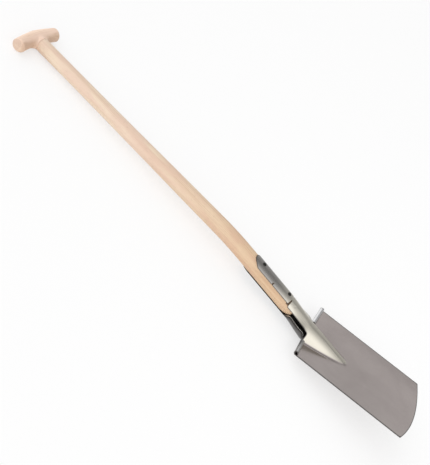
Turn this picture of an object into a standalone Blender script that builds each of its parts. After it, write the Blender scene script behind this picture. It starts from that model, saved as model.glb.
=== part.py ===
"""Digging spade with a T grip, as eight separate pieces.

The pieces are drawn in the tool's own frame: X across the blade, Y out of the blade's front face,
Z from the cutting edge up to the grip, with Z = 0 level with the blade's bottom corners. One empty
then lays the whole tool on its back, front face up, resting on its heel and on its grip.
"""

import math

import bmesh
import bpy
from mathutils import Matrix, Vector

MM = 0.001
GAP = 0.3 * MM
SHEET = 2.0 * MM

# Blade
BLADE_HALF_WIDTH = 89.0 * MM
SHOULDER_Z = 270.7 * MM
SHOULDER_FILLET = 9.0 * MM
EDGE_BOW = 19.4 * MM
DISH = 9.0 * MM

# Frog, the raised middle of the blade
FROG_TIP_Z = 157.0 * MM
FROG_HALF_WIDTH = 36.0 * MM
FROG_TIP_HALF_WIDTH = 7.5 * MM
FROG_HEIGHT = 34.1 * MM
FROG_SIDE_BOW = 1.5 * MM
FROG_RISE_CURVE = 0.31
FROG_TIP_ROUNDING = 0.01
FROG_CROWN_REACH = 0.78
FROG_FOOT_REACH = 0.70
FROG_FLANK_START = 0.445
COLUMN_SPREAD = 30.0 * MM

# Rolled treads
TREAD_INNER_RADIUS = 3.0 * MM
TREAD_TURN = math.radians(298)
TREAD_INSET = 2.0 * MM

# Socket, the two straps round the shaft
SOCKET_LEAN = math.atan(0.2786)
SOCKET_FOOT_Z = 265.0 * MM
SOCKET_RADIUS = 22.3 * MM
MOUTH_HALF_WIDTH = 25.5 * MM
MOUTH_DEPTH = 28.0 * MM
MOUTH_Z = 273.0 * MM
SOCKET_ROUND_Z = 330.0 * MM
FRONT_START_Z = 283.0 * MM
FRONT_TUBE_Z = 298.0 * MM
FRONT_TIP_Z = 467.0 * MM
BACK_TUBE_Z = 283.0 * MM
BACK_TIP_Z = 468.0 * MM
TIP_LENGTH = 20.0 * MM
TIP_NARROWING = 0.62
TIP_WIDTH = 0.12
FRONT_WRAP = math.radians(51)
FRONT_MOUTH_WRAP = math.radians(68)
FLANGE_STEP_START_Z = 344.0 * MM
FLANGE_STEP_END_Z = 347.0 * MM
BACK_WRAP = math.radians(38)
BACK_MOUTH_WRAP = math.radians(86)
BACK_EDGE_START_Z = 322.0 * MM
BACK_EDGE_END_Z = 340.0 * MM

# Cover, the back strap's foot on the back of the blade
COVER_TIP_Z = 148.0 * MM
COVER_TOP_Z = 266.0 * MM
COVER_RIM = 4.0 * MM
COVER_TIP_REACH = 20.0 * MM
COVER_TIP_SHARE = 0.6
COVER_CROWN_REACH = 0.62
COVER_FOOT_REACH = 0.72
HEEL_DEPTH = 15.0 * MM
HEEL_FADE_Z = 205.0 * MM
HEEL_FULL_Z = 270.0 * MM
HEEL_HALF_WIDTH = 27.0 * MM
HEEL_TIP_SHARE = 0.45

# Shaft
SHAFT_RADIUS = 20.0 * MM
SHAFT_TOP_RADIUS = 16.0 * MM
SHAFT_FOOT_Z = 326.0 * MM
SHAFT_FOOT_RADIUS = 15.0 * MM
SHAFT_FOOT_TAPER = 16.0 * MM
CRANK_Z = 526.3 * MM
CRANK_REACH = 40.0 * MM
SHAFT_TAPER_END_Z = 1050.0 * MM
UPPER_SLOPE = 0.1708
UPPER_LEAN = math.atan(UPPER_SLOPE)

# Grip
GRIP_Z = 1131.5 * MM
GRIP_HALF_LENGTH = 62.0 * MM
GRIP_RADIUS = 15.3 * MM
GRIP_SWELL = 1.7 * MM
GRIP_SWELL_REACH = 22.0 * MM
GRIP_DROOP = 6.0 * MM
GRIP_EDGE = 5.0 * MM
BOSS_DROP = 18.0 * MM
BOSS_RADIUS = 16.8 * MM
BOSS_FLARE = 30.0 * MM
BOSS_TOP_DEPTH = 15.1 * MM
TENON_RADIUS = 11.0 * MM
TENON_EXCESS = 6.0 * MM
SHOULDER_CHAMFER = 4.0 * MM
SHOULDER_STEP = 1.6 * MM
WEDGE_DEPTH = 19.0 * MM
WEDGE_EXCESS = 3.0 * MM
WEDGE_TOP = 3.2 * MM
WEDGE_TIP = 1.0 * MM
WEDGE_HALF_WIDTH = 9.6 * MM
KERF_DEPTH = 21.0 * MM
KERF_EXCESS = 8.0 * MM
PIN_RADIUS = 1.6 * MM
PIN_CHAMFER = 0.4 * MM
PIN_SINK = 0.5 * MM
PIN_DROP = 10.0 * MM
PIN_REACH = 6.0 * MM

# Rivets
UPPER_RIVET_Z = 442.5 * MM
LOWER_RIVET_Z = 360.5 * MM
RIVET_SHANK = 3.0 * MM
RIVET_HEAD = 4.6 * MM
RIVET_DOME = 2.0 * MM

# Relief cuts in the front strap's flanges
SLIT_Z = 348.0 * MM
SLIT_INNER_X = 9.0 * MM
SLIT_WIDTH = 1.6 * MM
NOTCH_Z = 401.5 * MM
NOTCH_INNER_X = 11.0 * MM
NOTCH_WIDTH = 1.8 * MM

# Cutters that reach well past what they cut
LONG_CUT = 90.0 * MM
TRIM_REACH = 20.0 * MM
TRIM_THICKNESS = 14.0 * MM

# Mesh rows and columns
CROWN_COLUMNS = 7
FLANK_COLUMNS = 5
PLATE_COLUMNS = 8
RIM_COLUMNS = 2
CORNER_COLUMNS = 4
PLAIN_ROWS = 7
FROG_ROWS = 15
TREAD_STEPS = 12
MOUTH_ROWS = 8
STRAP_ROWS = 7
COVER_ROWS = 14
EDGE_ROWS = 4
TIP_ROWS = 6
ROW_EASE = 1.3
WELD = 0.01 * MM
SMOOTH_ANGLE = math.radians(35)


def smooth(low, high, value):
    """Smooth step from 0 at low to 1 at high."""
    share = min(max((value - low) / (high - low), 0.0), 1.0)
    return share * share * (3 - 2 * share)


def mix(first, second, share):
    """Straight blend of two numbers or vectors."""
    return first * (1 - share) + second * share


def spaced(low, high, count, ease=1.0):
    """Heights from above low up to high, closer together near low where ease is over 1."""
    return [mix(low, high, (index / count) ** ease) for index in range(1, count + 1)]


def tip_heights(tip_z):
    """Heights over a strap's tip, closer together at its end."""
    turns = [math.pi / 2 * index / TIP_ROWS for index in range(1, TIP_ROWS + 1)]
    return [tip_z - TIP_LENGTH * (1 - math.sin(turn)) for turn in turns]


def bell(share, width, height, top, foot):
    """Point of a pressed bell: flat crown at share 0, flat foot at share 1."""
    rest = 1 - share
    x = width * (3 * rest * rest * share * top + 3 * rest * share * share * foot + share ** 3)
    y = height * rest * rest * (1 + 2 * share)
    return x, y


def face_y(x):
    """Height of the blade's dished front face."""
    return -DISH * (1 - (x / BLADE_HALF_WIDTH) ** 2)


def frog_share(z):
    """0 at the frog's tip, 1 at the shoulders."""
    return (z - FROG_TIP_Z) / (SHOULDER_Z - FROG_TIP_Z)


def frog_width(z):
    """Half width of the frog's foot, and of its columns below the tip."""
    share = frog_share(z)
    if share < 0:
        return mix(FROG_TIP_HALF_WIDTH, COLUMN_SPREAD, min((FROG_TIP_Z - z) / FROG_TIP_Z, 1.0))
    bow = FROG_SIDE_BOW * math.sin(math.pi * min(share, 1.0))
    return mix(FROG_TIP_HALF_WIDTH, FROG_HALF_WIDTH, share) + bow


def frog_height(z):
    """Height of the frog's crown above the plate."""
    share = max(frog_share(z), 0.0)
    rise = mix(share, share * share, FROG_RISE_CURVE)
    tip = share * (1 + FROG_TIP_ROUNDING) / (share + FROG_TIP_ROUNDING)
    return FROG_HEIGHT * rise * tip


def frog_point(z, share):
    """Point of the front face, from the crown (0) to the frog's foot (1)."""
    x, y = bell(share, frog_width(z), frog_height(z), FROG_CROWN_REACH, FROG_FOOT_REACH)
    return Vector((x, face_y(x) + y, z))


def axis_y(z):
    """Y of the shaft's axis: a straight socket, a short crank, a straight shaft."""
    crank_y = math.tan(SOCKET_LEAN) * (CRANK_Z - SOCKET_FOOT_Z)
    if z < CRANK_Z - CRANK_REACH:
        return math.tan(SOCKET_LEAN) * (z - SOCKET_FOOT_Z)
    if z > CRANK_Z + CRANK_REACH:
        return crank_y + UPPER_SLOPE * (z - CRANK_Z)
    drift = z - (CRANK_Z - CRANK_REACH)
    turn = (UPPER_SLOPE - math.tan(SOCKET_LEAN)) / (4 * CRANK_REACH)
    start = math.tan(SOCKET_LEAN) * (CRANK_Z - CRANK_REACH - SOCKET_FOOT_Z)
    return start + math.tan(SOCKET_LEAN) * drift + turn * drift * drift


def socket_point(z, angle, depth):
    """Point of a strap's outer face; angle runs from the crown, depth is signed to the front."""
    width = mix(SOCKET_RADIUS, MOUTH_HALF_WIDTH, 1 - smooth(MOUTH_Z, SOCKET_ROUND_Z, z))
    out = depth * math.cos(angle)
    centre = Vector((0, axis_y(z), z))
    return centre + socket_normal() * out + Vector((width * math.sin(angle), 0, 0))


def strap_wrap(z, tip_z, wrap):
    """Half wrap of a strap, narrowing in a straight taper to a small round tip."""
    share = min(max((z - (tip_z - TIP_LENGTH)) / TIP_LENGTH, 0.0), 1.0)
    return wrap * max((1 - TIP_NARROWING * share) * math.sqrt(1 - share ** 8), TIP_WIDTH)


def front_point(z, column):
    """Point of the front strap's outer face, growing out of the frog."""
    step = smooth(FLANGE_STEP_START_Z, FLANGE_STEP_END_Z, z)
    wrap = strap_wrap(z, FRONT_TIP_Z, mix(FRONT_MOUTH_WRAP, FRONT_WRAP, step))
    share = column / CROWN_COLUMNS
    tube = socket_point(z, share * wrap, SOCKET_RADIUS)
    frog = frog_point(z, share * FROG_FLANK_START)
    return frog.lerp(tube, smooth(SHOULDER_Z, FRONT_TUBE_Z, z))


def column_point(z, column):
    """Point of the front face on one of the plate's columns."""
    middle = CROWN_COLUMNS + FLANK_COLUMNS
    if column > middle:
        x = mix(frog_width(z), BLADE_HALF_WIDTH, (column - middle) / PLATE_COLUMNS)
        return Vector((x, face_y(x), z))
    if column > CROWN_COLUMNS:
        return frog_point(z, mix(FROG_FLANK_START, 1.0, (column - CROWN_COLUMNS) / FLANK_COLUMNS))
    return frog_point(z, FROG_FLANK_START * column / CROWN_COLUMNS)


def plate_point(row_share, column):
    """Point of the blade's front face between the cutting edge (0) and the shoulders (1)."""
    low_x = column_point(0.0, column).x
    low_z = -EDGE_BOW * (1 - (low_x / BLADE_HALF_WIDTH) ** 2)
    corner = SHOULDER_FILLET * max(1 - abs(column - CROWN_COLUMNS) / CORNER_COLUMNS, 0) ** 2
    return column_point(mix(low_z, SHOULDER_Z + corner, row_share), column)


def tread_point(column, step):
    """Point of the inner face of a tread, rolled forward from the shoulder."""
    start = plate_point(1.0, column)
    turn = TREAD_TURN * step / TREAD_STEPS
    out = TREAD_INNER_RADIUS * (1 - math.cos(turn))
    inset = TREAD_INSET * start.x / BLADE_HALF_WIDTH * min(step / 3, 1.0)
    return start + Vector((-inset, out, TREAD_INNER_RADIUS * math.sin(turn)))


def add_row(mesh, previous, points):
    """Add a row of vertices and join it to the previous row with quads."""
    row = [mesh.verts.new(point) for point in points]
    if previous:
        for index in range(min(len(row), len(previous)) - 1):
            corners = (previous[index], previous[index + 1], row[index + 1], row[index])
            mesh.faces.new(corners)
    return row


def finish_sheet(name, mesh, outward, collection):
    """Turn a half sheet into a mirrored solid; outward is where its open face looks."""
    bmesh.ops.recalc_face_normals(mesh, faces=mesh.faces)
    mesh.faces.ensure_lookup_table()
    if mesh.faces[0].normal.dot(outward) < 0:
        bmesh.ops.reverse_faces(mesh, faces=mesh.faces)
    obj = mesh_object(name, mesh, collection)
    mirror = obj.modifiers.new("mirror", "MIRROR")
    mirror.merge_threshold = WELD
    shell = obj.modifiers.new("sheet", "SOLIDIFY")
    shell.thickness = SHEET
    shell.offset = -1
    shell.use_even_offset = True
    return obj


def mesh_object(name, mesh, collection):
    """Turn a bmesh into a named object in a collection."""
    data = bpy.data.meshes.new(name)
    mesh.to_mesh(data)
    mesh.free()
    obj = bpy.data.objects.new(name, data)
    collection.objects.link(obj)
    return obj


def make_blade(collection):
    """Plate, frog, treads and front strap, all one pressed sheet."""
    mesh = bmesh.new()
    columns = CROWN_COLUMNS + FLANK_COLUMNS + PLATE_COLUMNS
    tip_share = (FROG_TIP_Z + EDGE_BOW) / (SHOULDER_Z + EDGE_BOW)
    shares = [0.0] + spaced(0.0, tip_share, PLAIN_ROWS) + spaced(tip_share, 1.0, FROG_ROWS)
    row = None
    for share in shares:
        row = add_row(mesh, row, [plate_point(share, column) for column in range(columns + 1)])
    shoulder = row

    middle = CROWN_COLUMNS + FLANK_COLUMNS
    row = shoulder[middle:]
    for step in range(1, TREAD_STEPS + 1):
        points = [tread_point(column, step) for column in range(middle, columns + 1)]
        row = add_row(mesh, row, points)

    heights = [FRONT_START_Z] + spaced(FRONT_START_Z, FLANGE_STEP_START_Z, MOUTH_ROWS, ROW_EASE)
    heights += [FLANGE_STEP_END_Z]
    heights += spaced(FLANGE_STEP_END_Z, FRONT_TIP_Z - TIP_LENGTH, STRAP_ROWS)
    heights += tip_heights(FRONT_TIP_Z)
    row = shoulder[:CROWN_COLUMNS + 1]
    for z in heights:
        row = add_row(mesh, row, [front_point(z, column) for column in range(CROWN_COLUMNS + 1)])
    return finish_sheet("blade", mesh, Vector((0, 1, 0)), collection)


def back_wrap(z):
    """Half wrap of the back strap."""
    wrap = mix(BACK_MOUTH_WRAP, BACK_WRAP, smooth(BACK_EDGE_START_Z, BACK_EDGE_END_Z, z))
    return strap_wrap(z, BACK_TIP_Z, wrap)


def cover_point(z, share):
    """Point of the cover's outer face: 0 on the ridge, 1 at the foot of the raised part."""
    raised = smooth(HEEL_FADE_Z, HEEL_FULL_Z, z)
    width = min(HEEL_HALF_WIDTH * mix(HEEL_TIP_SHARE, 1.0, raised), cover_width(z) - 2 * COVER_RIM)
    x, depth = bell(share, width, HEEL_DEPTH * raised, COVER_CROWN_REACH, COVER_FOOT_REACH)
    return Vector((x, face_y(x) - 2 * SHEET - GAP - depth, z))


def cover_width(z):
    """Half width of the cover, a little wider than the frog behind it."""
    share = min(max((z - COVER_TIP_Z) / COVER_TIP_REACH, 0.0), 1.0)
    return (frog_width(max(z, FROG_TIP_Z)) + COVER_RIM) * math.sqrt(mix(COVER_TIP_SHARE, 1.0, share))


def back_point(z, column):
    """Point of the back strap's outer face above the cover."""
    share = column / CROWN_COLUMNS
    depth = mix(SOCKET_RADIUS, MOUTH_DEPTH, 1 - smooth(MOUTH_Z, SOCKET_ROUND_Z, z))
    tube = socket_point(z, share * back_wrap(z), -depth)
    return cover_point(z, share).lerp(tube, smooth(COVER_TOP_Z, BACK_TUBE_Z, z))


def make_back_strap(collection):
    """Cover on the blade's back, rising into the back half of the socket and its strap."""
    mesh = bmesh.new()
    row = None
    for z in [COVER_TIP_Z] + spaced(COVER_TIP_Z, COVER_TOP_Z, COVER_ROWS):
        points = [cover_point(z, column / CROWN_COLUMNS) for column in range(CROWN_COLUMNS + 1)]
        inner = points[-1].x
        for column in range(1, RIM_COLUMNS + 1):
            x = mix(inner, cover_width(z), column / RIM_COLUMNS)
            points.append(Vector((x, face_y(x) - 2 * SHEET - GAP, z)))
        row = add_row(mesh, row, points)

    heights = spaced(COVER_TOP_Z, BACK_EDGE_START_Z, MOUTH_ROWS + 1, ROW_EASE)
    heights += spaced(BACK_EDGE_START_Z, BACK_EDGE_END_Z, EDGE_ROWS)
    heights += spaced(BACK_EDGE_END_Z, BACK_TIP_Z - TIP_LENGTH, STRAP_ROWS)
    heights += tip_heights(BACK_TIP_Z)
    row = row[:CROWN_COLUMNS + 1]
    for z in heights:
        row = add_row(mesh, row, [back_point(z, column) for column in range(CROWN_COLUMNS + 1)])
    return finish_sheet("back_strap", mesh, Vector((0, -1, 0)), collection)


def shaft_radius(z):
    """Radius of the shaft, from the tapered foot in the socket to the grip."""
    if z < SHAFT_FOOT_Z + SHAFT_FOOT_TAPER:
        share = (z - SHAFT_FOOT_Z) / SHAFT_FOOT_TAPER
        return mix(SHAFT_FOOT_RADIUS, SHAFT_RADIUS, math.sin(share * math.pi / 2))
    return mix(SHAFT_RADIUS, SHAFT_TOP_RADIUS, smooth(CRANK_Z - CRANK_REACH, SHAFT_TAPER_END_Z, z))


def along_shaft(z, offset=0.0):
    """Point on the shaft's axis, moved along the upper shaft's own direction."""
    return Vector((0, axis_y(z), z)) + upper_direction() * offset


def round_bar(name, points, radii, collection, resolution=6):
    """Round bar along a path, with a radius at each point, as a closed mesh."""
    curve = bpy.data.curves.new(name + "_path", "CURVE")
    curve.dimensions = "3D"
    curve.bevel_depth = 1.0
    curve.bevel_resolution = resolution
    curve.use_fill_caps = True
    spline = curve.splines.new("POLY")
    spline.points.add(len(points) - 1)
    for slot, point, radius in zip(spline.points, points, radii):
        slot.co = (*point, 1)
        slot.radius = radius
    path = bpy.data.objects.new(name + "_path", curve)
    collection.objects.link(path)
    bpy.context.view_layer.update()
    depsgraph = bpy.context.evaluated_depsgraph_get()
    data = bpy.data.meshes.new_from_object(path.evaluated_get(depsgraph))
    bpy.data.objects.remove(path)
    bpy.data.curves.remove(curve)
    mesh = bmesh.new()
    mesh.from_mesh(data)
    bmesh.ops.remove_doubles(mesh, verts=mesh.verts, dist=WELD)
    bmesh.ops.recalc_face_normals(mesh, faces=mesh.faces)
    bpy.data.meshes.remove(data)
    return mesh_object(name, mesh, collection)


def make_shaft(collection):
    """Cranked wooden shaft, with a chamfer and a tenon at the grip."""
    taper = [SHAFT_FOOT_Z + SHAFT_FOOT_TAPER * share for share in (0, 0.12, 0.3, 0.6, 1.0)]
    stations = taper + [CRANK_Z - CRANK_REACH]
    stations += [CRANK_Z + CRANK_REACH * share for share in (-0.6, -0.2, 0.2, 0.6, 1.0)]
    stations += spaced(CRANK_Z + CRANK_REACH, SHAFT_TAPER_END_Z, 5)
    points = [along_shaft(z) for z in stations]
    radii = [shaft_radius(z) for z in stations]
    shoulder = -BOSS_DROP - GAP
    chamfer = (shoulder - SHOULDER_CHAMFER, SHAFT_TOP_RADIUS)
    rim = (shoulder - GAP, SHAFT_TOP_RADIUS - SHOULDER_STEP)
    root = (shoulder, TENON_RADIUS)
    end = (GRIP_RADIUS + TENON_EXCESS, TENON_RADIUS)
    for offset, radius in (chamfer, rim, root, end):
        points.append(along_shaft(GRIP_Z, offset))
        radii.append(radius)
    return round_bar("shaft", points, radii, collection)


def grip_path(x):
    """Point on the grip's arched centre line."""
    return along_shaft(GRIP_Z, -GRIP_DROOP * (x / GRIP_HALF_LENGTH) ** 2) + Vector((x, 0, 0))


def grip_radius(x):
    """Radius of the grip: thicker in the middle, rounded over at its ends."""
    swell = GRIP_SWELL * math.exp(-(x / GRIP_SWELL_REACH) ** 2)
    reach = max(abs(x) - (GRIP_HALF_LENGTH - GRIP_EDGE), 0.0)
    return GRIP_RADIUS + swell - GRIP_EDGE + math.sqrt(GRIP_EDGE ** 2 - min(reach, GRIP_EDGE) ** 2)


def make_grip(collection):
    """Arched bar joined to a short boss that takes the tenon."""
    body = GRIP_HALF_LENGTH - GRIP_EDGE
    half = [body * share for share in (0, 0.14, 0.28, 0.42, 0.6, 0.8, 1.0)]
    half += [body + GRIP_EDGE * math.sin(math.radians(angle)) for angle in (30, 60, 90)]
    stations = [-x for x in reversed(half[1:])] + half
    points = [grip_path(x) for x in stations]
    radii = [grip_radius(x) for x in stations]
    return round_bar("t_grip", points, radii, collection)


def make_boss(collection):
    """Collar under the grip, round at the shaft and flared along the grip."""
    mesh = bmesh.new()
    bmesh.ops.create_cone(mesh, cap_ends=True, segments=32, radius1=BOSS_RADIUS,
                          radius2=BOSS_RADIUS, depth=BOSS_DROP)
    for vertex in mesh.verts:
        if vertex.co.z > 0:
            vertex.co.x *= BOSS_FLARE / BOSS_RADIUS
            vertex.co.y *= BOSS_TOP_DEPTH / BOSS_RADIUS
    obj = mesh_object("boss_joiner", mesh, collection)
    obj.matrix_local = Matrix.Translation(along_shaft(GRIP_Z, -BOSS_DROP / 2)) @ along(upper_direction())
    return obj


def along(direction):
    """Rotation that turns Z to a direction."""
    return Vector((0, 0, 1)).rotation_difference(direction).to_matrix().to_4x4()


def rod(name, centre, direction, radius, length, collection, segments=24):
    """Plain cylinder centred on a point."""
    mesh = bmesh.new()
    bmesh.ops.create_cone(mesh, cap_ends=True, segments=segments, radius1=radius,
                          radius2=radius, depth=length)
    obj = mesh_object(name, mesh, collection)
    obj.matrix_local = Matrix.Translation(centre) @ along(direction)
    return obj


def socket_normal():
    """Direction straight out of the front strap."""
    return Vector((0, math.cos(SOCKET_LEAN), -math.sin(SOCKET_LEAN)))


def upper_direction():
    """Direction of the upper shaft."""
    return Vector((0, math.sin(UPPER_LEAN), math.cos(UPPER_LEAN)))


def upper_normal():
    """Direction straight out of the front of the upper shaft."""
    return Vector((0, math.cos(UPPER_LEAN), -math.sin(UPPER_LEAN)))


def turned(name, profile, centre, direction, collection, segments=20):
    """Solid of revolution from a profile that starts and ends on its axis."""
    mesh = bmesh.new()
    chain = [mesh.verts.new((radius, 0, height)) for radius, height in profile]
    for start, end in zip(chain, chain[1:]):
        mesh.edges.new((start, end))
    obj = mesh_object(name, mesh, collection)
    obj.matrix_local = Matrix.Translation(centre) @ along(direction)
    screw = obj.modifiers.new("turn", "SCREW")
    screw.angle = math.radians(360)
    screw.steps = segments
    screw.render_steps = segments
    screw.use_merge_vertices = True
    screw.merge_threshold = WELD
    return obj


def make_rivet(name, z, collection):
    """Domed rivet right through both straps and the shaft."""
    seat = SOCKET_RADIUS + GAP
    angles = [math.radians(angle) for angle in (90, 67, 45, 22)]
    dome = [(RIVET_HEAD * math.cos(angle), seat + RIVET_DOME * math.sin(angle)) for angle in angles]
    dome[0] = (0.0, seat + RIVET_DOME)
    front = dome + [(RIVET_HEAD, seat), (RIVET_SHANK, seat)]
    profile = front + [(radius, -height) for radius, height in reversed(front)]
    centre = Vector((0, axis_y(z), z))
    return turned(name, profile, centre, socket_normal(), collection)


def make_wedge(collection):
    """Thin wedge that spreads the tenon along the grip."""
    mesh = bmesh.new()
    bmesh.ops.create_cube(mesh, size=1.0)
    top = GRIP_RADIUS + GRIP_SWELL + WEDGE_EXCESS
    bottom = GRIP_RADIUS + GRIP_SWELL - WEDGE_DEPTH
    for vertex in mesh.verts:
        upper = vertex.co.z > 0
        vertex.co.x *= WEDGE_TOP if upper else WEDGE_TIP
        vertex.co.y *= 2 * WEDGE_HALF_WIDTH
        vertex.co.z = top if upper else bottom
    obj = mesh_object("grip_wedge", mesh, collection)
    obj.matrix_local = Matrix.Translation(along_shaft(GRIP_Z)) @ along(upper_direction())
    return obj


def make_kerf(collection):
    """Saw cut in the tenon, a gap wider than the wedge all round."""
    mesh = bmesh.new()
    bmesh.ops.create_cube(mesh, size=1.0)
    top = GRIP_RADIUS + GRIP_SWELL + KERF_EXCESS
    bottom = GRIP_RADIUS + GRIP_SWELL - KERF_DEPTH
    for vertex in mesh.verts:
        upper = vertex.co.z > 0
        vertex.co.x *= (WEDGE_TOP if upper else WEDGE_TIP) + 3 * GAP
        vertex.co.y *= 4 * TENON_RADIUS
        vertex.co.z = top if upper else bottom
    obj = mesh_object("kerf_cutter", mesh, collection)
    obj.matrix_local = Matrix.Translation(along_shaft(GRIP_Z)) @ along(upper_direction())
    return obj


def make_trim(collection):
    """Thick arch over the grip that trims the tenon flush with its round top."""
    mesh = bmesh.new()
    row = None
    radius = GRIP_RADIUS + GRIP_SWELL
    for x in (-TRIM_REACH, TRIM_REACH):
        points = []
        for index in range(17):
            angle = math.pi * index / 16
            points.append(Vector((x, radius * math.cos(angle), radius * math.sin(angle))))
        row = add_row(mesh, row, points)
    bmesh.ops.recalc_face_normals(mesh, faces=mesh.faces)
    mesh.faces.ensure_lookup_table()
    if mesh.faces[8].normal.z < 0:
        bmesh.ops.reverse_faces(mesh, faces=mesh.faces)
    obj = mesh_object("tenon_trim_cutter", mesh, collection)
    obj.matrix_local = Matrix.Translation(along_shaft(GRIP_Z)) @ along(upper_direction())
    shell = obj.modifiers.new("arch", "SOLIDIFY")
    shell.thickness = TRIM_THICKNESS
    shell.offset = 1
    return obj


def make_flange_cuts(name, z, inner_x, width, collection):
    """Two thin boxes that cut across the front strap's flanges, one on each side."""
    mesh = bmesh.new()
    for side in (-1, 1):
        box = bmesh.ops.create_cube(mesh, size=1.0)
        for vertex in box["verts"]:
            vertex.co.x = side * (inner_x + (0.5 + vertex.co.x) * SOCKET_RADIUS)
            vertex.co.y = (0.5 + vertex.co.y) * 2 * SOCKET_RADIUS
            vertex.co.z *= width
    bmesh.ops.recalc_face_normals(mesh, faces=mesh.faces)
    obj = mesh_object(name, mesh, collection)
    turn = Matrix.Rotation(-SOCKET_LEAN, 4, "X")
    obj.matrix_local = Matrix.Translation((0, axis_y(z), z)) @ turn
    return obj


def make_pin(collection):
    """Plain pin through the back of the boss into the tenon, sunk just below the surface."""
    centre = along_shaft(GRIP_Z, -PIN_DROP)
    end = PIN_SINK - mix(BOSS_TOP_DEPTH, BOSS_RADIUS, PIN_DROP / BOSS_DROP)
    profile = [(0.0, PIN_REACH), (PIN_RADIUS, PIN_REACH), (PIN_RADIUS, end + PIN_CHAMFER)]
    profile += [(PIN_RADIUS - PIN_CHAMFER, end), (0.0, end)]
    return turned("grip_pin", profile, centre, upper_normal(), collection, 16)


def cut(obj, cutter, operation="DIFFERENCE"):
    """Boolean of one object with another."""
    boolean = obj.modifiers.new(cutter.name, "BOOLEAN")
    boolean.operation = operation
    boolean.object = cutter
    boolean.solver = "EXACT"


def material(name, colour, roughness, metallic):
    """Plain Principled material."""
    result = bpy.data.materials.new(name)
    result.use_nodes = True
    shader = result.node_tree.nodes["Principled BSDF"]
    shader.inputs["Base Color"].default_value = (*colour, 1)
    shader.inputs["Roughness"].default_value = roughness
    shader.inputs["Metallic"].default_value = metallic
    return result


def shade(obj):
    """Smooth shading that keeps the sharp edges."""
    obj.data.shade_smooth()
    obj.data.set_sharp_from_angle(angle=SMOOTH_ANGLE)


def lay_down(pieces, frame):
    """Turn and lift the frame so that the heel and the grip both touch the floor."""
    depsgraph = bpy.context.evaluated_depsgraph_get()
    points = []
    for piece in pieces:
        evaluated = piece.evaluated_get(depsgraph)
        data = evaluated.to_mesh()
        points += [piece.matrix_world @ vertex.co for vertex in data.vertices]
        evaluated.to_mesh_clear()
    heel_side = [point for point in points if point.z < CRANK_Z]
    grip_side = [point for point in points if point.z > CRANK_Z]
    pitch = 0.2
    for _ in range(8):
        up = Vector((0, math.cos(pitch), -math.sin(pitch)))
        heel = min(heel_side, key=up.dot)
        grip = min(grip_side, key=up.dot)
        pitch = math.atan2(grip.y - heel.y, grip.z - heel.z)
    turn = Matrix(((0, -math.sin(pitch), -math.cos(pitch)),
                   (-1, 0, 0),
                   (0, math.cos(pitch), -math.sin(pitch))))
    laid = [turn @ point for point in points]
    low = Vector([min(point[axis] for point in laid) for axis in range(3)])
    high = Vector([max(point[axis] for point in laid) for axis in range(3)])
    middle = (low + high) / 2
    frame.matrix_world = Matrix.Translation((-middle.x, -middle.y, -low.z)) @ turn.to_4x4()
    print("pitch", round(math.degrees(pitch), 3), "heel z", round(heel.z, 4), "size", high - low)


def main():
    """Build the eight pieces, cut them, finish them and lay the tool down."""
    for obj in list(bpy.data.objects):
        bpy.data.objects.remove(obj)
    parts = bpy.data.collections.new("spade")
    cutters = bpy.data.collections.new("cutters")
    bpy.context.scene.collection.children.link(parts)
    bpy.context.scene.collection.children.link(cutters)

    blade = make_blade(parts)
    back_strap = make_back_strap(parts)
    shaft = make_shaft(parts)
    grip = make_grip(parts)
    wedge = make_wedge(parts)
    pin = make_pin(parts)
    upper_rivet = make_rivet("upper_rivet", UPPER_RIVET_Z, parts)
    lower_rivet = make_rivet("lower_rivet", LOWER_RIVET_Z, parts)

    for name, z in (("upper_rivet_cutter", UPPER_RIVET_Z), ("lower_rivet_cutter", LOWER_RIVET_Z)):
        cutter = rod(name, Vector((0, axis_y(z), z)), socket_normal(), RIVET_SHANK + GAP,
                     LONG_CUT, cutters)
        for piece in (blade, back_strap, shaft):
            cut(piece, cutter)

    cut(blade, make_flange_cuts("slit_cutter", SLIT_Z, SLIT_INNER_X, SLIT_WIDTH, cutters))
    cut(blade, make_flange_cuts("notch_cutter", NOTCH_Z, NOTCH_INNER_X, NOTCH_WIDTH, cutters))

    cut(grip, make_boss(cutters), "UNION")
    cut(grip, rod("tenon_cutter", along_shaft(GRIP_Z), upper_direction(), TENON_RADIUS + GAP,
                  LONG_CUT, cutters, 32))
    trim = make_trim(cutters)
    cut(shaft, trim)
    cut(wedge, trim)
    cut(shaft, make_kerf(cutters))
    pin_centre = along_shaft(GRIP_Z, -PIN_DROP) + upper_normal() * (PIN_REACH + GAP - LONG_CUT / 2)
    pin_cutter = rod("pin_cutter", pin_centre, upper_normal(), PIN_RADIUS + GAP, LONG_CUT, cutters, 16)
    cut(grip, pin_cutter)
    cut(shaft, pin_cutter)

    steel = ("stainless_steel", (0.36, 0.34, 0.32), 0.38, 1.0)
    wood = ("ash_wood", (0.80, 0.62, 0.44), 0.55, 0.0)
    dark_steel = ("dark_steel", (0.03, 0.03, 0.03), 0.45, 1.0)
    hardwood = ("wedge_wood", (0.55, 0.38, 0.24), 0.6, 0.0)
    finishes = ((blade, steel), (back_strap, steel), (shaft, wood), (grip, wood), (wedge, hardwood),
                (pin, dark_steel), (upper_rivet, dark_steel), (lower_rivet, dark_steel))
    for piece, (name, colour, roughness, metallic) in finishes:
        piece.data.materials.append(material(piece.name + "_" + name, colour, roughness, metallic))
        shade(piece)

    frame = bpy.data.objects.new("spade_frame", None)
    parts.objects.link(frame)
    pieces = [piece for piece, _ in finishes]
    for obj in pieces + list(cutters.objects):
        obj.parent = frame
    for cutter in cutters.objects:
        cutter.hide_render = True
        cutter.display_type = "WIRE"
    bpy.context.view_layer.update()
    lay_down(pieces, frame)


main()
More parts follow.
